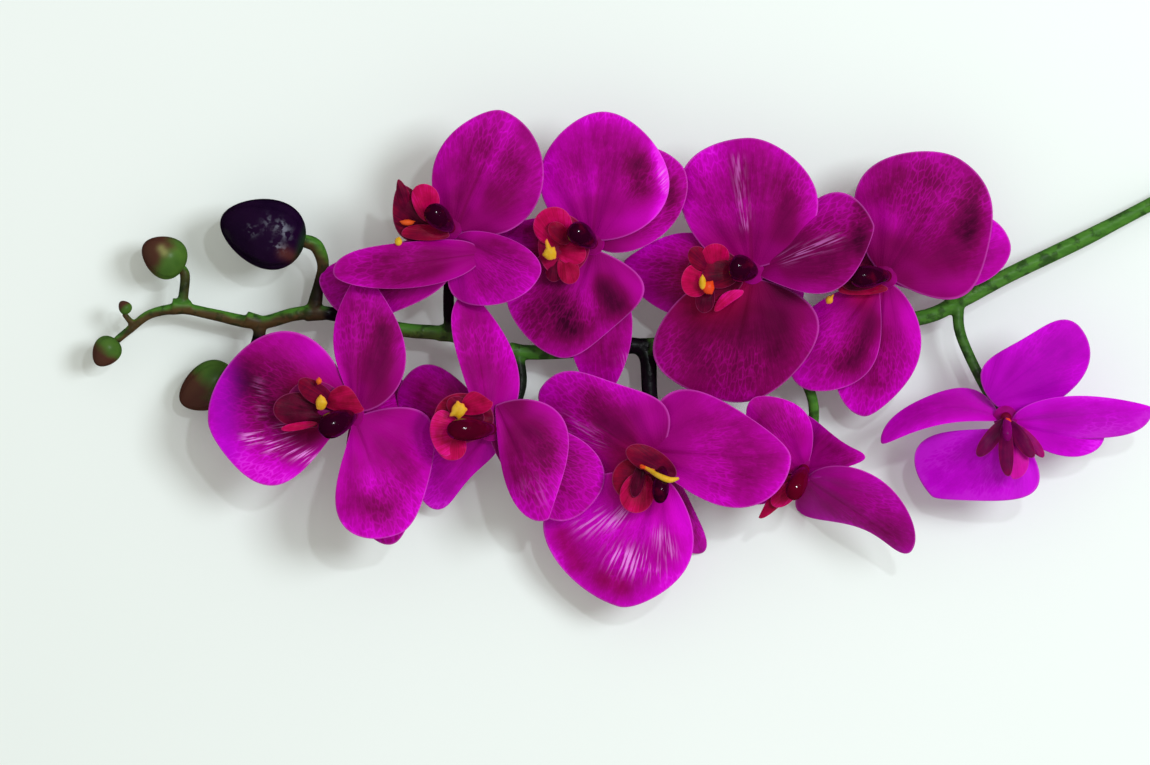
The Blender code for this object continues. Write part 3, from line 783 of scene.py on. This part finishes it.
# %% Lips
LIP_CELLS = 22
Lobe = namedtuple("Lobe", "foot tip left right low high tone violet", defaults=(0,))
LIPS = {
    "a": [
        Lobe((346, 408), (286, 405), 20, 26, 2.6, 4.0, -0.4, 0.25),
        Lobe((334, 416), (274, 408), 16, 19, 3, 6, -0.65),
        Lobe((336, 404), (300, 380), (9, 12, 10), 9, 4.5, 8.5, -0.4),
        Lobe((322, 402), (365, 409), (13, 20, 10), 7, 4.6, 8, 0.1),
        Lobe((318, 423), (282, 429), 4, 4, 5.8, 7.6, 0.45),
    ],
    "b": [
        Lobe((494, 418), (434, 420), 24, 26, 2.6, 3.6, -0.05),
        Lobe((484, 420), (448, 400), 12, 10, 3.5, 6, -0.35),
        Lobe((458, 410), (493, 402), (9, 15, 8), 9, 5.5, 8.5, 0.25),
        Lobe((464, 430), (430, 430), (16, 26, 20), (10, 19, 18), 4, 6.2, 0.6),
        Lobe((455, 430), (449, 460), 15, 14, 4.2, 5.2, 0.4),
    ],
    "c": [
        Lobe((440, 236), (400, 186), (26, 30, 19), 9, 3, 5.5, -0.5),
        Lobe((410, 216), (399, 180), (6, 7, 4.5), (6, 7, 4.5), 4.4, 6.5, -0.45),
        Lobe((430, 222), (421, 185), (9, 12, 11), (10, 15, 13), 4.8, 8, 0.45),
        Lobe((450, 236), (402, 234), 6, 10, 5, 6, -0.1),
    ],
    "d": [
        Lobe((590, 246), (538, 246), 30, 32, 2.6, 4.0, 0.05, 0.05),
        Lobe((562, 246), (546, 209), 20, 19, 4, 9, 0.42),
        Lobe((556, 250), (586, 256), 12, 12, 4, 6, 0.35),
        Lobe((556, 254), (553, 282), 9, 9, 3.5, 3.4, -0.5),
        Lobe((564, 254), (572, 284), 11, 11, 4.2, 5, 0.1),
        Lobe((568, 244), (550, 224), 8, 9, 6.5, 9.3, -0.1),
    ],
    "e": [
        Lobe((744, 276), (686, 276), 26, 28, 2.6, 4.0, -0.35),
        Lobe((716, 272), (714, 244), 14, 14, 4, 8.5, 0.3),
        Lobe((714, 272), (690, 249), 11, 10, 4.5, 8.2, -0.3),
        Lobe((712, 284), (681, 279), 16, 17, 3.5, 8, 0.32),
        Lobe((707, 284), (703, 313), 9.5, 9.5, 4, 4.4, -0.65),
        Lobe((714, 311), (743, 291), (6, 9, 6), (3, 3, 3), 3.2, 6.4, 0.65),
        Lobe((740, 272), (702, 275), 15, 16, 5, 6.5, -0.35),
    ],
    "f": [
        Lobe((888, 289), (838, 290), 5.5, 7.5, 4, 4, 0.15),
        Lobe((880, 282), (842, 285), 7, 9, 4.5, 6, -0.6),
    ],
    "g": [
        Lobe((668, 478), (612, 480), 22, 22, 2.6, 3.2, -0.25),
        Lobe((676, 476), (626, 449), 11, 14, 5, 8.4, -0.35),
        Lobe((644, 472), (631, 512), 17, 17, 4, 6, 0.25),
        Lobe((642, 462), (634, 497), 6.5, 6.5, 6.5, 6.8, -0.75),
    ],
    "h": [
        Lobe((798, 476), (759, 518), (8, 8, 6), (8, 8, 4), 3, 2.5, 0.15),
        Lobe((799, 482), (772, 505), 10, 9, 4.5, 5, 0.5),
    ],
    "i": [
        Lobe((1006, 418), (976, 456), 8, 8, 4, 7, -0.6, 0.1),
        Lobe((1005, 420), (1007, 476), 6, 9, 5, 6.5, -0.6, 0.1),
        Lobe((1008, 420), (1032, 457), 7, 8, 4.8, 7.5, -0.6, 0.1),
        Lobe((1012, 424), (1042, 457), 7, 5, 4.3, 6.6, -0.2, 0.3),
        Lobe((1012, 436), (1013, 479), 15, 6, 3, 4, 0.9, 0.75),
    ],
}
SIDE_SHARES = (0.75, 1, 0.85)       # of the middle half-width, at the three stations
LOBE_ARCH = 0.9
LOBE_CUP = 0.8
LOBE_WAVE = 0.3
LIP_FOOT = (2.2, 2.2, 1.6)          # the rounded foot that the lobes grow from
LIP_FOOT_HEIGHT = 3


def stations_of(width):
    """Three half-widths in millimetres, from one middle one or from three, in pixels."""
    three = width if isinstance(width, tuple) else [share * width for share in SIDE_SHARES]
    return [PIXEL * part for part in three]


def lip_of(letter, lobes):
    centre = Vector(BLOOMS[letter].centre)
    whole = rounded(LIP_FOOT)
    bmesh.ops.translate(whole, vec=centre + Vector((0, 0, LIP_FOOT_HEIGHT)), verts=whole.verts[:])
    for count, lobe in enumerate(lobes):
        foot = (*seen(*lobe.foot) - centre.to_2d(), lobe.low)
        tip = (*seen(*lobe.tip) - centre.to_2d(), lobe.high)
        sides = stations_of(lobe.left), stations_of(lobe.right)
        leaf = Blade(tip, *sides, 0, LOBE_ARCH, LOBE_CUP, foot, 0, LIP_CELLS)
        bm = blade(leaf, Vector((count, ord(letter), 2.0)), LOBE_WAVE, lobe.tone, lobe.violet)
        bmesh.ops.translate(bm, vec=centre, verts=bm.verts[:])
        gather(whole, bm)
    piece_from(whole, f"bloom_{letter}_lip", LIP_FINISH, [f"lip_{letter}"])


for letter, lobes in LIPS.items():
    lip_of(letter, lobes)

# %% [markdown]
# ## A round body along a route
# Columns, stem and stalks are all round bodies that follow a line and change their girth on the
# way. A curve with a bevel could give such a tube, but extruding a ring of points from station to
# station keeps it one closed mesh. Each new ring is carried to its place by the turn that the line
# makes there, so the tube doesn't twist.

# %% Swept round bodies
def smooth_route(points, steps):
    """Points on a smooth curve through the given ones, each with its radius."""
    rows = [Vector(point) for point in points]
    ends = [2 * rows[0] - rows[1], *rows, 2 * rows[-1] - rows[-2]]
    route = []
    for before, start, end, after in zip(ends, ends[1:], ends[2:], ends[3:]):
        slope, bend = end - before, 2 * before - 5 * start + 4 * end - after
        twist = 3 * start - before - 3 * end + after
        for step in range(steps):
            t = step / steps
            route.append(0.5 * (2 * start + slope * t + bend * t ** 2 + twist * t ** 3))
    route.append(rows[-1])
    return route


def following_ring(ring, edges):
    """The new points of an extruded ring, in the order of the old ones."""
    new = {vert for edge in edges for vert in edge.verts}
    across = [[edge.other_vert(vert) for edge in vert.link_edges] for vert in ring]
    return [next(vert for vert in others if vert in new) for others in across]


def swept(points, sides, steps):
    """A closed round body along the smooth curve through points, each given as x, y, z, radius."""
    route = smooth_route(points, steps)
    places = [Vector(row[:3]) for row in route]
    ways = [(after - before).normalized() for before, after in zip(places[:-1], places[1:])]
    ways = [ways[0]] + [(a + b).normalized() for a, b in zip(ways[:-1], ways[1:])] + [ways[-1]]
    bm = bmesh.new()
    ring = bmesh.ops.create_circle(bm, segments=sides, radius=1, cap_ends=False)["verts"]
    turn = Vector((0, 0, 1)).rotation_difference(ways[0]).to_matrix()
    edges = list({edge for vert in ring for edge in vert.link_edges})
    unit = [vert.co.copy() for vert in ring]
    stations = []
    for count, (spot, way, row) in enumerate(zip(places, ways, route)):
        if count:
            turn = ways[count - 1].rotation_difference(way).to_matrix() @ turn
            new = bmesh.ops.extrude_edge_only(bm, edges=edges)["geom"]
            edges = [item for item in new if isinstance(item, bmesh.types.BMEdge)]
            edges = [edge for edge in edges if not any(vert in ring for vert in edge.verts)]
            ring = following_ring(ring, edges)
        for vert, flat in zip(ring, unit):
            vert.co = spot + turn @ (flat * row[3])
        stations.append(ring)
    for ends in (stations[0], stations[-1]):
        bmesh.ops.contextual_create(bm, geom=ends)
    bmesh.ops.recalc_face_normals(bm, faces=bm.faces[:])
    return bm


print("a smooth route through three points:", len(smooth_route([(0, 0), (1, 1), (2, 0)], 5)), "stations")

# %% [markdown]
# ## Columns
# The column is the fused stamens and style: a stout, polished, nearly black maroon knob that rises
# from the middle of the bloom and leans over the lip. A stretched ball would be too even, so each
# one is a swept round body that ends where the picture shows its round nose.

# %% Columns
COLUMN_NOSES = {        # pixel of the nose, and the column's greatest radius in millimetres
    "a": ((320, 431), 4.8), "b": ((447, 430), 4.2), "c": ((428, 208), 4.3), "d": ((569, 228), 4.5),
    "e": ((728, 266), 5.0), "f": ((849, 278), 4.1), "g": ((659, 503), 3.1), "h": ((790, 499), 3.6),
    "i": ((1005, 441), 1.8),
}
COLUMN_HUES = {"b": (0.3, 0), "h": (0.55, 0), "i": (0, 0.85)}      # how crimson and how magenta
# How far along from the root to the nose, how high above the bloom's centre, and the share of the
# greatest radius there.
COLUMN_SHAPE = [
    (0.04, 2.6, 0.5), (0.06, 5.5, 0.55), (0.2, 8.8, 0.78), (0.42, 10.8, 0.98), (0.65, 11.9, 1.0),
    (0.82, 12.0, 0.86), (0.93, 11.9, 0.6), (0.98, 11.8, 0.34), (1.0, 11.8, 0.1),
]


def column_finish():
    finish = Finish("column_finish", 0.13)
    cloud = finish.noise(finish.place(), 240.0, 2.0)
    crimson, magenta, _ = finish.attribute("place")
    maroon = finish.mix(finish.fade(cloud, 0.5, 0.85), shade(42, 0, 24), shade(80, 0, 30))
    reddened = finish.mix(crimson, maroon, shade(112, 0, 30))
    finish.colour(finish.mix(magenta, reddened, shade(128, 4, 100)))
    finish.bump(finish.noise(finish.place(), 420.0), 0.0003, 0.4)
    finish.set(IOR=1.5)
    return finish.material


COLUMN_FINISH = column_finish()


def column_of(letter, nose, girth):
    root = Vector(BLOOMS[letter].centre)
    way = seen(*nose) - root.to_2d()
    route = []
    for share, height, thickness in COLUMN_SHAPE:
        spot = root.to_2d() + way * share
        route.append((spot.x, spot.y, root.z + height, girth * thickness))
    bm = swept(route, sides=28, steps=5)
    place = bm.verts.layers.float_vector.new("place")
    hue = (*COLUMN_HUES.get(letter, (0, 0)), 0)
    for vert in bm.verts:
        vert[place] = hue
    piece_from(bm, f"bloom_{letter}_column", COLUMN_FINISH, [f"column_{letter}"])


for letter, (nose, girth) in COLUMN_NOSES.items():
    column_of(letter, nose, girth)

# %% [markdown]
# ## Calluses
# On each lip sits a small yellow to orange pad, the callus, with a few blunt prongs. The prongs could
# be pieces of their own, but it is one lump of flesh, so a ball is pressed flat, and its sides are
# drawn out where the prongs are. Where the lip is turned away, only a ridge or a knob of it shows.

# %% Calluses
Pad = namedtuple("Pad", "middle half_across half_up height red prongs", defaults=((),))
# A pad is given by the pixel of its middle, its half sizes and its height above the bloom's centre
# in millimetres, how red it is, and its prongs: for each a direction in degrees and a share of the
# pad's size.
CALLUSES = {
    "a": [Pad((322, 403), 2.0, 2.7, 8, 0.1, ((95, 0.2), (0, 0.15), (225, 0.15))),
          Pad((320, 381), 1.1, 1.2, 10, 0.7, ((90, 0.3), (250, 0.3)))],
    "b": [Pad((459, 410), 2.6, 2.7, 8.5, 0.15,
              ((97, 0.35), (5, 0.3), (272, 0.3), (212, 0.6), (50, 0.15)))],
    "c": [Pad((408, 223), 2.5, 1.1, 6.8, 0.8, ((20, 0.3), (160, 0.3))),
          Pad((399, 242), 1.4, 1.6, 5.5, 0.0, ((80, 0.2),))],
    "d": [Pad((550, 254), 2.4, 2.4, 8, 0.05, ((105, 1.5), (55, 0.3), (190, 0.25), (320, 0.2)))],
    "e": [Pad((702, 283), 1.3, 2.6, 9, 0.1, ((90, 0.2),)),
          Pad((708, 288), 2.2, 2.4, 8, 1.0, ((55, 0.35), (300, 0.2)))],
    "f": [Pad((829, 300), 1.4, 1.5, 8, 0.3, ((50, 0.9), (230, 0.2)))],
    "g": [Pad((643, 467), 1.3, 0.7, 9.2, 0.9), Pad((651, 470), 1.4, 0.7, 9.8, 0.5)],
    "h": [Pad((790, 489), 1.3, 1.5, 6, 1.0)],
    "i": [Pad((1006, 421), 1.1, 1.2, 8.5, 1.0, ((0, 0.3), (120, 0.3)))],
}
CREST = [               # the crest on lip g, as pixels, height above the centre and radius
    (640, 465, 9.0, 0.5), (648, 469, 10.2, 0.75), (655, 473.5, 12.5, 0.9), (663, 477.5, 14.2, 1.15),
    (670, 479.5, 13.6, 1.1), (678, 478, 12, 0.5),
]
PRONG_WIDTH = 0.22      # in radians
PAD_HEIGHT = 1.5
CREST_SIDE = 0.4        # how orange the crest is, as on a pad's side
CREST_RED = 0.9         # how red its start is
CREST_FADE = 3          # how fast that red goes along it


def callus_finish():
    finish = Finish("callus_finish", 0.4)
    _, _, side = finish.attribute("fan")
    _, _, red = finish.attribute("place")
    cloud = finish.noise(finish.place(), 500.0, 2.0)
    yellow = finish.mix(finish.fade(cloud, 0.35, 0.65), shade(208, 158, 8), shade(222, 176, 40))
    orange = finish.mix(finish.fade(side, 0.35, 0.85), yellow, shade(244, 146, 56))
    finish.colour(finish.mix(finish.fade(red, 0.0, 1.0), orange, shade(222, 62, 10)))
    finish.bump(finish.noise(finish.place(), 1500.0), 0.0002, 0.5)
    return finish.material


CALLUS_FINISH = callus_finish()


def pad_of(letter, pad):
    """A flattened ball whose sides are drawn out into the pad's prongs."""
    bm = rounded((1, 1, 1))
    place = layer(bm, "place")
    for vert in bm.verts:
        around = math.atan2(vert.co.y, vert.co.x)
        spread = 1.0
        for direction, size in pad.prongs:
            off = (around - math.radians(direction) + math.pi) % math.tau - math.pi
            spread += size * math.exp(-(off / PRONG_WIDTH) ** 2)
        flat = spread ** (1 - vert.co.z ** 2)
        vert.co.x *= flat * pad.half_across
        vert.co.y *= flat * pad.half_up
        vert.co.z *= PAD_HEIGHT
        vert[place] = (0, 0, pad.red)
    height = BLOOMS[letter].centre[2] + pad.height
    bmesh.ops.translate(bm, vec=(*seen(*pad.middle), height), verts=bm.verts[:])
    return bm


def crest_of(letter, points):
    """The part of a callus that stands up as a long ridge, red where it starts."""
    centre = BLOOMS[letter].centre
    route = [(*seen(across, down), centre[2] + height, radius) for across, down, height, radius in points]
    bm = swept(route, sides=14, steps=5)
    fan, place, _ = new_layers(bm)
    first, last = route[0][0], route[-1][0]
    for vert in bm.verts:
        share = (vert.co.x - first) / (last - first)
        vert[fan] = (0, 0, CREST_SIDE)
        vert[place] = (0, 0, max(0, CREST_RED - CREST_FADE * share))
    return bm


def callus_of(letter, pads):
    whole = bmesh.new()
    new_layers(whole)
    for pad in pads:
        gather(whole, pad_of(letter, pad))
    if letter == "g":
        gather(whole, crest_of(letter, CREST))
    piece_from(whole, f"bloom_{letter}_callus", CALLUS_FINISH, [f"callus_{letter}"])


for letter, pads in CALLUSES.items():
    callus_of(letter, pads)

# %% [markdown]
# ## Stem
# The main stem, its side stalks and the bract scales at its nodes grew as one. A boolean union would
# join them with hard creases. So the tubes are swept one by one and laid into each other, then a
# voxel remesh melts them into one skin, and a little smoothing rounds the forks. Each tube is given
# by points in the plan, in millimetres, with its radius there. The stalks run from the stem to what
# they carry. The scales are given by the place and the way that they point.

# %% Stem routes
STEM = [
    (263, 90, 1.6, 2.9), (248, 82.8, 1.6, 2.7), (230, 74.4, 3.0, 2.6), (205, 61.4, 7.5, 2.6),
    (188, 52.7, 10.5, 2.9), (161, 39.8, 13.5, 2.9), (142.5, 30, 15, 2.9), (127, 23.7, 15, 2.8),
    (87, 18.7, 14.5, 2.8), (46, 14.6, 14.5, 2.8), (24, 13.7, 14.5, 2.8), (-20, 11.3, 14, 2.8),
    (-46, 17.8, 14, 2.8), (-65, 19.8, 13.5, 2.7), (-92, 25.8, 13, 2.6), (-104, 25.5, 13, 2.6),
    (-118, 22.2, 12.5, 2.5), (-135, 25.4, 12.5, 2.2), (-146.5, 27.5, 12.5, 2.1),
    (-158, 25.5, 12.5, 1.8), (-165.6, 19.8, 12.2, 1.6), (-171, 15.4, 12, 1.5),
]
STALKS = {
    "a": [(-78, 22.2, 13, 2.1), (-86, 10, 13.5, 2.0), (-85.5, -4, 16, 1.9), (-82.7, -12.0, 22, 2.0)],
    "b": [(-21.5, 11.5, 14, 2.3), (-20, 0, 16, 2.2), (-23, -9.5, 17, 2.0), (-28.5, -15, 18.5, 2.0),
          (-30.8, -17, 22.5, 2.0)],
    "c": [(-46.5, 18, 14, 2.2), (-47, 30, 16.5, 2.1), (-46.6, 43, 19, 2.0), (-46.4, 53, 22, 2.0),
          (-46.3, 56.8, 25.6, 2.0)],
    "d": [(9, 13.2, 14.5, 2.2), (8, 28, 14.5, 2.0), (6.5, 43, 16, 2.0), (6.3, 51.2, 21.4, 2.0)],
    "e": [(60, 16, 14.5, 2.2), (62, 26, 15, 2.0), (65, 35.5, 18, 2.0), (65.5, 40.5, 23.2, 2.0)],
    "f": [(104, 20.8, 14.5, 2.2), (110, 28, 14, 2.0), (114.4, 35, 14, 2.0),
          (115.1, 39, 17.4, 2.0)],
    "g": [(23.5, 13.8, 14.5, 3.0), (27, 9, 15.5, 3.1), (27.8, -4, 16, 2.9), (30, -20, 16, 2.4),
          (31.8, -28, 17.5, 2.0), (32.2, -31.2, 21.4, 2.0)],
    "h": [(80, 18.2, 14.5, 2.2), (84, 5, 14, 2.0), (88.5, -7, 13.5, 2.0), (88.5, -18, 11, 2.0),
          (86, -28, 11, 2.0), (84.7, -32, 15.4, 2.0)],
    "i": [(142.5, 29.5, 15, 2.3), (142.8, 20, 16.5, 2.1), (146.5, 10, 17, 2.0), (153, -3, 18, 2.0),
          (158, -11, 21, 2.0), (159.1, -12.8, 25.4, 2.0)],
    "bud_tiny": [(-164, 21, 12.3, 1.3), (-168.0, 25.8, 13.2, 1.1)],
    "bud_small": [(-146.3, 28.2, 12.5, 2.0), (-145.4, 35, 13, 1.9), (-145.2, 40.5, 13.4, 1.9),
                  (-148, 44.5, 13.8, 1.4)],
    "bud_large": [(-97.5, 26, 13, 2.9), (-96.4, 31, 13.6, 2.6), (-95, 38, 15, 1.9), (-93.6, 44, 17, 2.3),
                  (-96, 50.6, 18.6, 2.6), (-100.5, 52.6, 19.2, 2.5), (-103, 53.2, 19.5, 1.6)],
    "bud_low": [(-117.5, 22.8, 12.5, 2.4), (-117.8, 16.5, 11.6, 2.4), (-121.5, 9.5, 10.4, 2.0),
                (-126.5, 4.8, 9.0, 1.8)],
}
SCALES = [
    ((142, 29.8, 15), (-1, -0.42, 0)), ((24, 13.7, 14.5), (-1, 0.02, 0)),
    ((-20.5, 11.5, 14), (-1, 0.1, 0)), ((-47, 17.9, 14), (-1, 0.18, 0)),
    ((-96.5, 25.7, 13), (-1, 0.05, 0)), ((-119, 22.8, 12.5), (-1, 0.2, 0)),
    ((-146.3, 28.2, 12.5), (-1, 0.02, 0)),
]
print(len(STALKS), "side stalks and", len(SCALES), "bract scales")

# %% Stem finish
def stem_finish():
    finish = Finish("stem_finish", 0.42)
    times, total, fade, mix = finish.times, finish.total, finish.fade, finish.mix
    dark, shaded_side, _ = finish.attribute("place")
    where = finish.place()
    parts = finish.add("ShaderNodeSeparateXYZ")
    finish.feed(parts.inputs[0], where)
    x, y, z = parts.outputs
    streak = finish.noise(finish.vector(times(x, 0.25), y, z), 500.0, 3.0)
    cloud = finish.noise(where, 60.0, 3.0)
    green = mix(streak, shade(32, 84, 18), shade(86, 142, 44))
    brown = mix(streak, shade(50, 30, 18), shade(96, 74, 36))

    # Towards the thin end brown patches set in. They are the stem's own colour, but they spread most on
    # the side that faces down the picture, away from the light, and that part is painted shade.
    thin_end = fade(x, -0.06, -0.13)
    patches = fade(total(cloud, times(shaded_side, 0.4)), 0.2, 0.55)
    tinted = mix(times(patches, thin_end), green, brown)
    knots = fade(finish.noise(where, 230.0, 4.0), 0.5, 0.64, 0.0, 0.6)
    finish.colour(mix(dark, mix(knots, tinted, shade(26, 46, 18)), shade(14, 9, 16)))
    finish.bump(total(streak, knots), 0.0004, 0.6)
    finish.set(Specular_IOR_Level=0.5)
    return finish.material


STEM_FINISH = stem_finish()
print("the stem finish has", len(STEM_FINISH.node_tree.nodes), "nodes")

# %% Stem mesh
STALK_END = 2.0         # a bloom's stalk ends with this radius, in millimetres
STALK_GAP = 0.3         # and this far under the bloom's foot
SCALE_LENGTH = 7.0
SCALE_RADII = (2.4, 3.25)
VOXEL = 0.55
STEM_SMOOTHING = 6      # rounds
SOFTENING = 0.5         # how far each of them goes


def scale_ring(place, way):
    """A short cup that clasps the stem at a node and opens towards the tip."""
    bm = bmesh.new()
    bmesh.ops.create_cone(
        bm, cap_ends=True, segments=24, radius1=SCALE_RADII[0], radius2=SCALE_RADII[1], depth=SCALE_LENGTH,
    )
    turn = Vector(way).to_track_quat("Z", "Y").to_matrix().to_4x4()
    bmesh.ops.transform(bm, matrix=Matrix.Translation(place) @ turn, verts=bm.verts[:])
    return bm


def melted(bm):
    """One skin round everything in bm, smoothed."""
    mesh = bpy.data.meshes.new("melting")
    bm.to_mesh(mesh)
    bm.free()
    helper = bpy.data.objects.new("melting", mesh)
    bpy.context.scene.collection.objects.link(helper)
    remesh = helper.modifiers.new("melt", "REMESH")
    remesh.mode = "VOXEL"
    remesh.voxel_size = VOXEL
    smooth = helper.modifiers.new("soften", "SMOOTH")
    smooth.factor = SOFTENING
    smooth.iterations = STEM_SMOOTHING
    graph = bpy.context.evaluated_depsgraph_get()
    done = bpy.data.meshes.new_from_object(helper.evaluated_get(graph))
    bpy.data.objects.remove(helper, do_unlink=True)
    bm = bmesh.new()
    bm.from_mesh(done)
    bpy.data.meshes.remove(done)
    return bm


# How dark the side stalks are. The main stem and those that aren't listed are green.
STALK_DARKNESS = {
    "a": 1, "b": 0.95, "c": 1, "e": 0.9, "g": 1, "i": 0.35, "bud_large": 0.75, "bud_small": 0.45,
    "bud_low": 1,
}
DARK_FROM = 2.1         # a stalk darkens from here, in millimetres off the middle of the main stem
DARK_FADE = 3.5
DARK_NODES = [((638, 346), 16), ((337, 317), 17)]       # dark stretches of the stem, in pixels
GREEN_FROM = 42         # the buds' stalks are all green above this line of the plan
GREEN_FADE = 4          # and take this many millimetres below it to darken
GREEN_LEFT_OF = -90     # no bloom's stalk lies left of this
ROUTE_STEPS = 8


def search_tree(points):
    tree = kdtree.KDTree(len(points))
    for index, point in enumerate(points):
        tree.insert(point[:3], index)
    tree.balance()
    return tree


def darken(bm):
    """Keeps each point's stalk darkness, and how far it faces down the picture, away from the light, for
    the finish's painted shade.
    """
    place = bm.verts.layers.float_vector.new("place")
    main = smooth_route(STEM, ROUTE_STEPS)
    spots, darks = list(main), [0] * len(main)
    for name, points in STALKS.items():
        route = smooth_route(points, ROUTE_STEPS)
        spots += route
        darks += [STALK_DARKNESS.get(name, 0)] * len(route)
    nearest, nearest_main = search_tree(spots), search_tree(main)
    bm.normal_update()
    for vert in bm.verts:
        _, index, _ = nearest.find(vert.co)
        _, _, off = nearest_main.find(vert.co)
        dark = darks[index] * clamped((off - DARK_FROM) / DARK_FADE)
        if vert.co.x < GREEN_LEFT_OF:
            dark *= clamped((GREEN_FROM - vert.co.y) / GREEN_FADE)
        for pixel, reach in DARK_NODES:
            near = 1 - (vert.co.to_2d() - seen(*pixel)).length / (reach * PIXEL)
            dark = max(dark, clamped(3 * near))
        vert[place] = (dark, -vert.normal.y, 0)


def stem():
    whole = swept(STEM, sides=24, steps=6)
    for name, points in STALKS.items():
        if name in BLOOMS:
            x, y, z = BLOOMS[name].centre
            points = points + [(x, y, z - HUB_DEPTH - STALK_GAP, STALK_END)]
        gather(whole, swept(points, sides=20, steps=6))
    for place, way in SCALES:
        gather(whole, scale_ring(place, way))
    bm = melted(whole)
    darken(bm)
    piece_from(bm, "stem_skin", STEM_FINISH, ["stem"])


stem()

# %% [markdown]
# ## Buds
# The buds are closed: three outer tepals wrap round the rest, so each bud is an egg with three
# shallow seams that meet at its tip. Curled blades could build it too, but only the seams show, so
# a ball is drawn out and grooved. The young ones are green with a red-brown blush, and the large
# one is nearly black.

# %% Buds
Bud = namedtuple("Bud", "centre length width turn colour")      # in millimetres and degrees
BUDS = {
    "bud_tip": Bud((-174.6, 11.4, 12), 12.0, 10.4, 235, "green"),
    "bud_tiny": Bud((-167.5, 28.0, 13.5), 5.4, 4.8, 130, "green"),
    "bud_small": Bud((-153.0, 47.0, 14), 17.5, 15.5, 150, "green"),
    "bud_large": Bud((-116.0, 55.9, 20), 32.5, 25.4, 162, "purple"),
    "bud_low": Bud((-137.0, -1.8, 8.0), 23, 17.5, 210, "green"),
}
# The highlight marks are painted highlights: pale glints where the buds catch the light.
BUD_MARKS = {
    "bud_large": {
        "painted_highlight": [(281, 225, 287, 234, 5, 1.0), (276, 245, 283, 250, 4, 1.1),
                  (268, 220, 270, 228, 5, 0.5), (251, 228, 253, 232, 4, 0.8)],
        "tone": [(284, 253, 294, 258, 6, 0.9)],
    },
    "bud_small": {"painted_highlight": [(160, 248, 163, 252, 4, 0.7)]},
}
BUD_TAPER = 0.22
SEAM_DEPTH = 0.05       # share of the girth
SEAM_WIDTH = 0.06       # share of the way from seam to seam
SEAM_TURN = 0.3         # the same, turns the seams round the bud


def green_bud_finish():
    finish = Finish("green_bud_finish", 0.36)
    along, _, _ = finish.attribute("place")
    lit, _, _ = finish.attribute("marks")
    cloud = finish.noise(finish.place(), 120.0, 3.0)
    green = finish.mix(cloud, shade(38, 78, 20), shade(92, 126, 48))
    blush = finish.fade(finish.total(along, finish.swing(cloud, 1.2)), -0.35, 0.3, 0.0, 0.85)
    blushed = finish.mix(blush, green, shade(84, 20, 34))
    # A painted highlight where the small bud catches the light.
    finish.colour(finish.mix(lit, blushed, shade(150, 150, 90)))
    finish.bump(cloud, 0.0003, 0.4)
    return finish.material


def purple_bud_finish():
    finish = Finish("purple_bud_finish", 0.34)
    along, _, tone = finish.attribute("place")
    painted_glints, _, _ = finish.attribute("marks")
    cloud = finish.noise(finish.place(), 90.0, 4.0)
    fine = finish.noise(finish.place(), 420.0, 4.0)
    purple = finish.mix(cloud, shade(14, 2, 28), shade(38, 8, 46))
    # Painted highlights: small pale glints where the dark glossy bud catches the light.
    glint_specks = finish.times(finish.fade(fine, 0.48, 0.64), finish.maths("MINIMUM", painted_glints, 1.0))
    glinted = finish.mix(finish.times(glint_specks, 0.55), purple, shade(140, 142, 158))
    browned = finish.mix(finish.maths("MINIMUM", tone, 0.8), glinted, shade(88, 44, 40))
    finish.colour(finish.mix(finish.fade(along, -0.78, -0.99, 0.0, 0.7), browned, shade(26, 54, 26)))
    finish.bump(finish.noise(finish.place(), 130.0, 4.0), 0.0014, 0.7)
    finish.set(Specular_IOR_Level=0.2)
    return finish.material


BUD_FINISHES = {
    "green": (green_bud_finish(), "bud_green"),
    "purple": (purple_bud_finish(), "bud_purple"),
}


def bud_of(name, bud):
    bm = bmesh.new()
    _, place, _ = new_layers(bm)
    bmesh.ops.create_uvsphere(bm, u_segments=60, v_segments=40, radius=1)
    for vert in bm.verts:
        x, y, z = vert.co
        around = math.atan2(y, x)
        seam = abs((around * 3 / math.tau + SEAM_TURN) % 1 - 0.5)
        groove = SEAM_DEPTH * math.exp(-(seam / SEAM_WIDTH) ** 2)
        girth = bud.width / 2 * (1 - BUD_TAPER * z) * (1 - groove)
        vert.co = (z * bud.length / 2, x * girth, y * girth)
        vert[place] = (z, 0, 0)
    turn = Matrix.Rotation(math.radians(bud.turn), 4, "Z")
    bmesh.ops.transform(bm, matrix=Matrix.Translation(bud.centre) @ turn, verts=bm.verts[:])
    marked(bm, BUD_MARKS.get(name, {}))
    bmesh.ops.recalc_face_normals(bm, faces=bm.faces[:])
    finish, slot = BUD_FINISHES[bud.colour]
    piece_from(bm, name + "_fine", finish, [name])


for name, bud in BUDS.items():
    bud_of(name, bud)
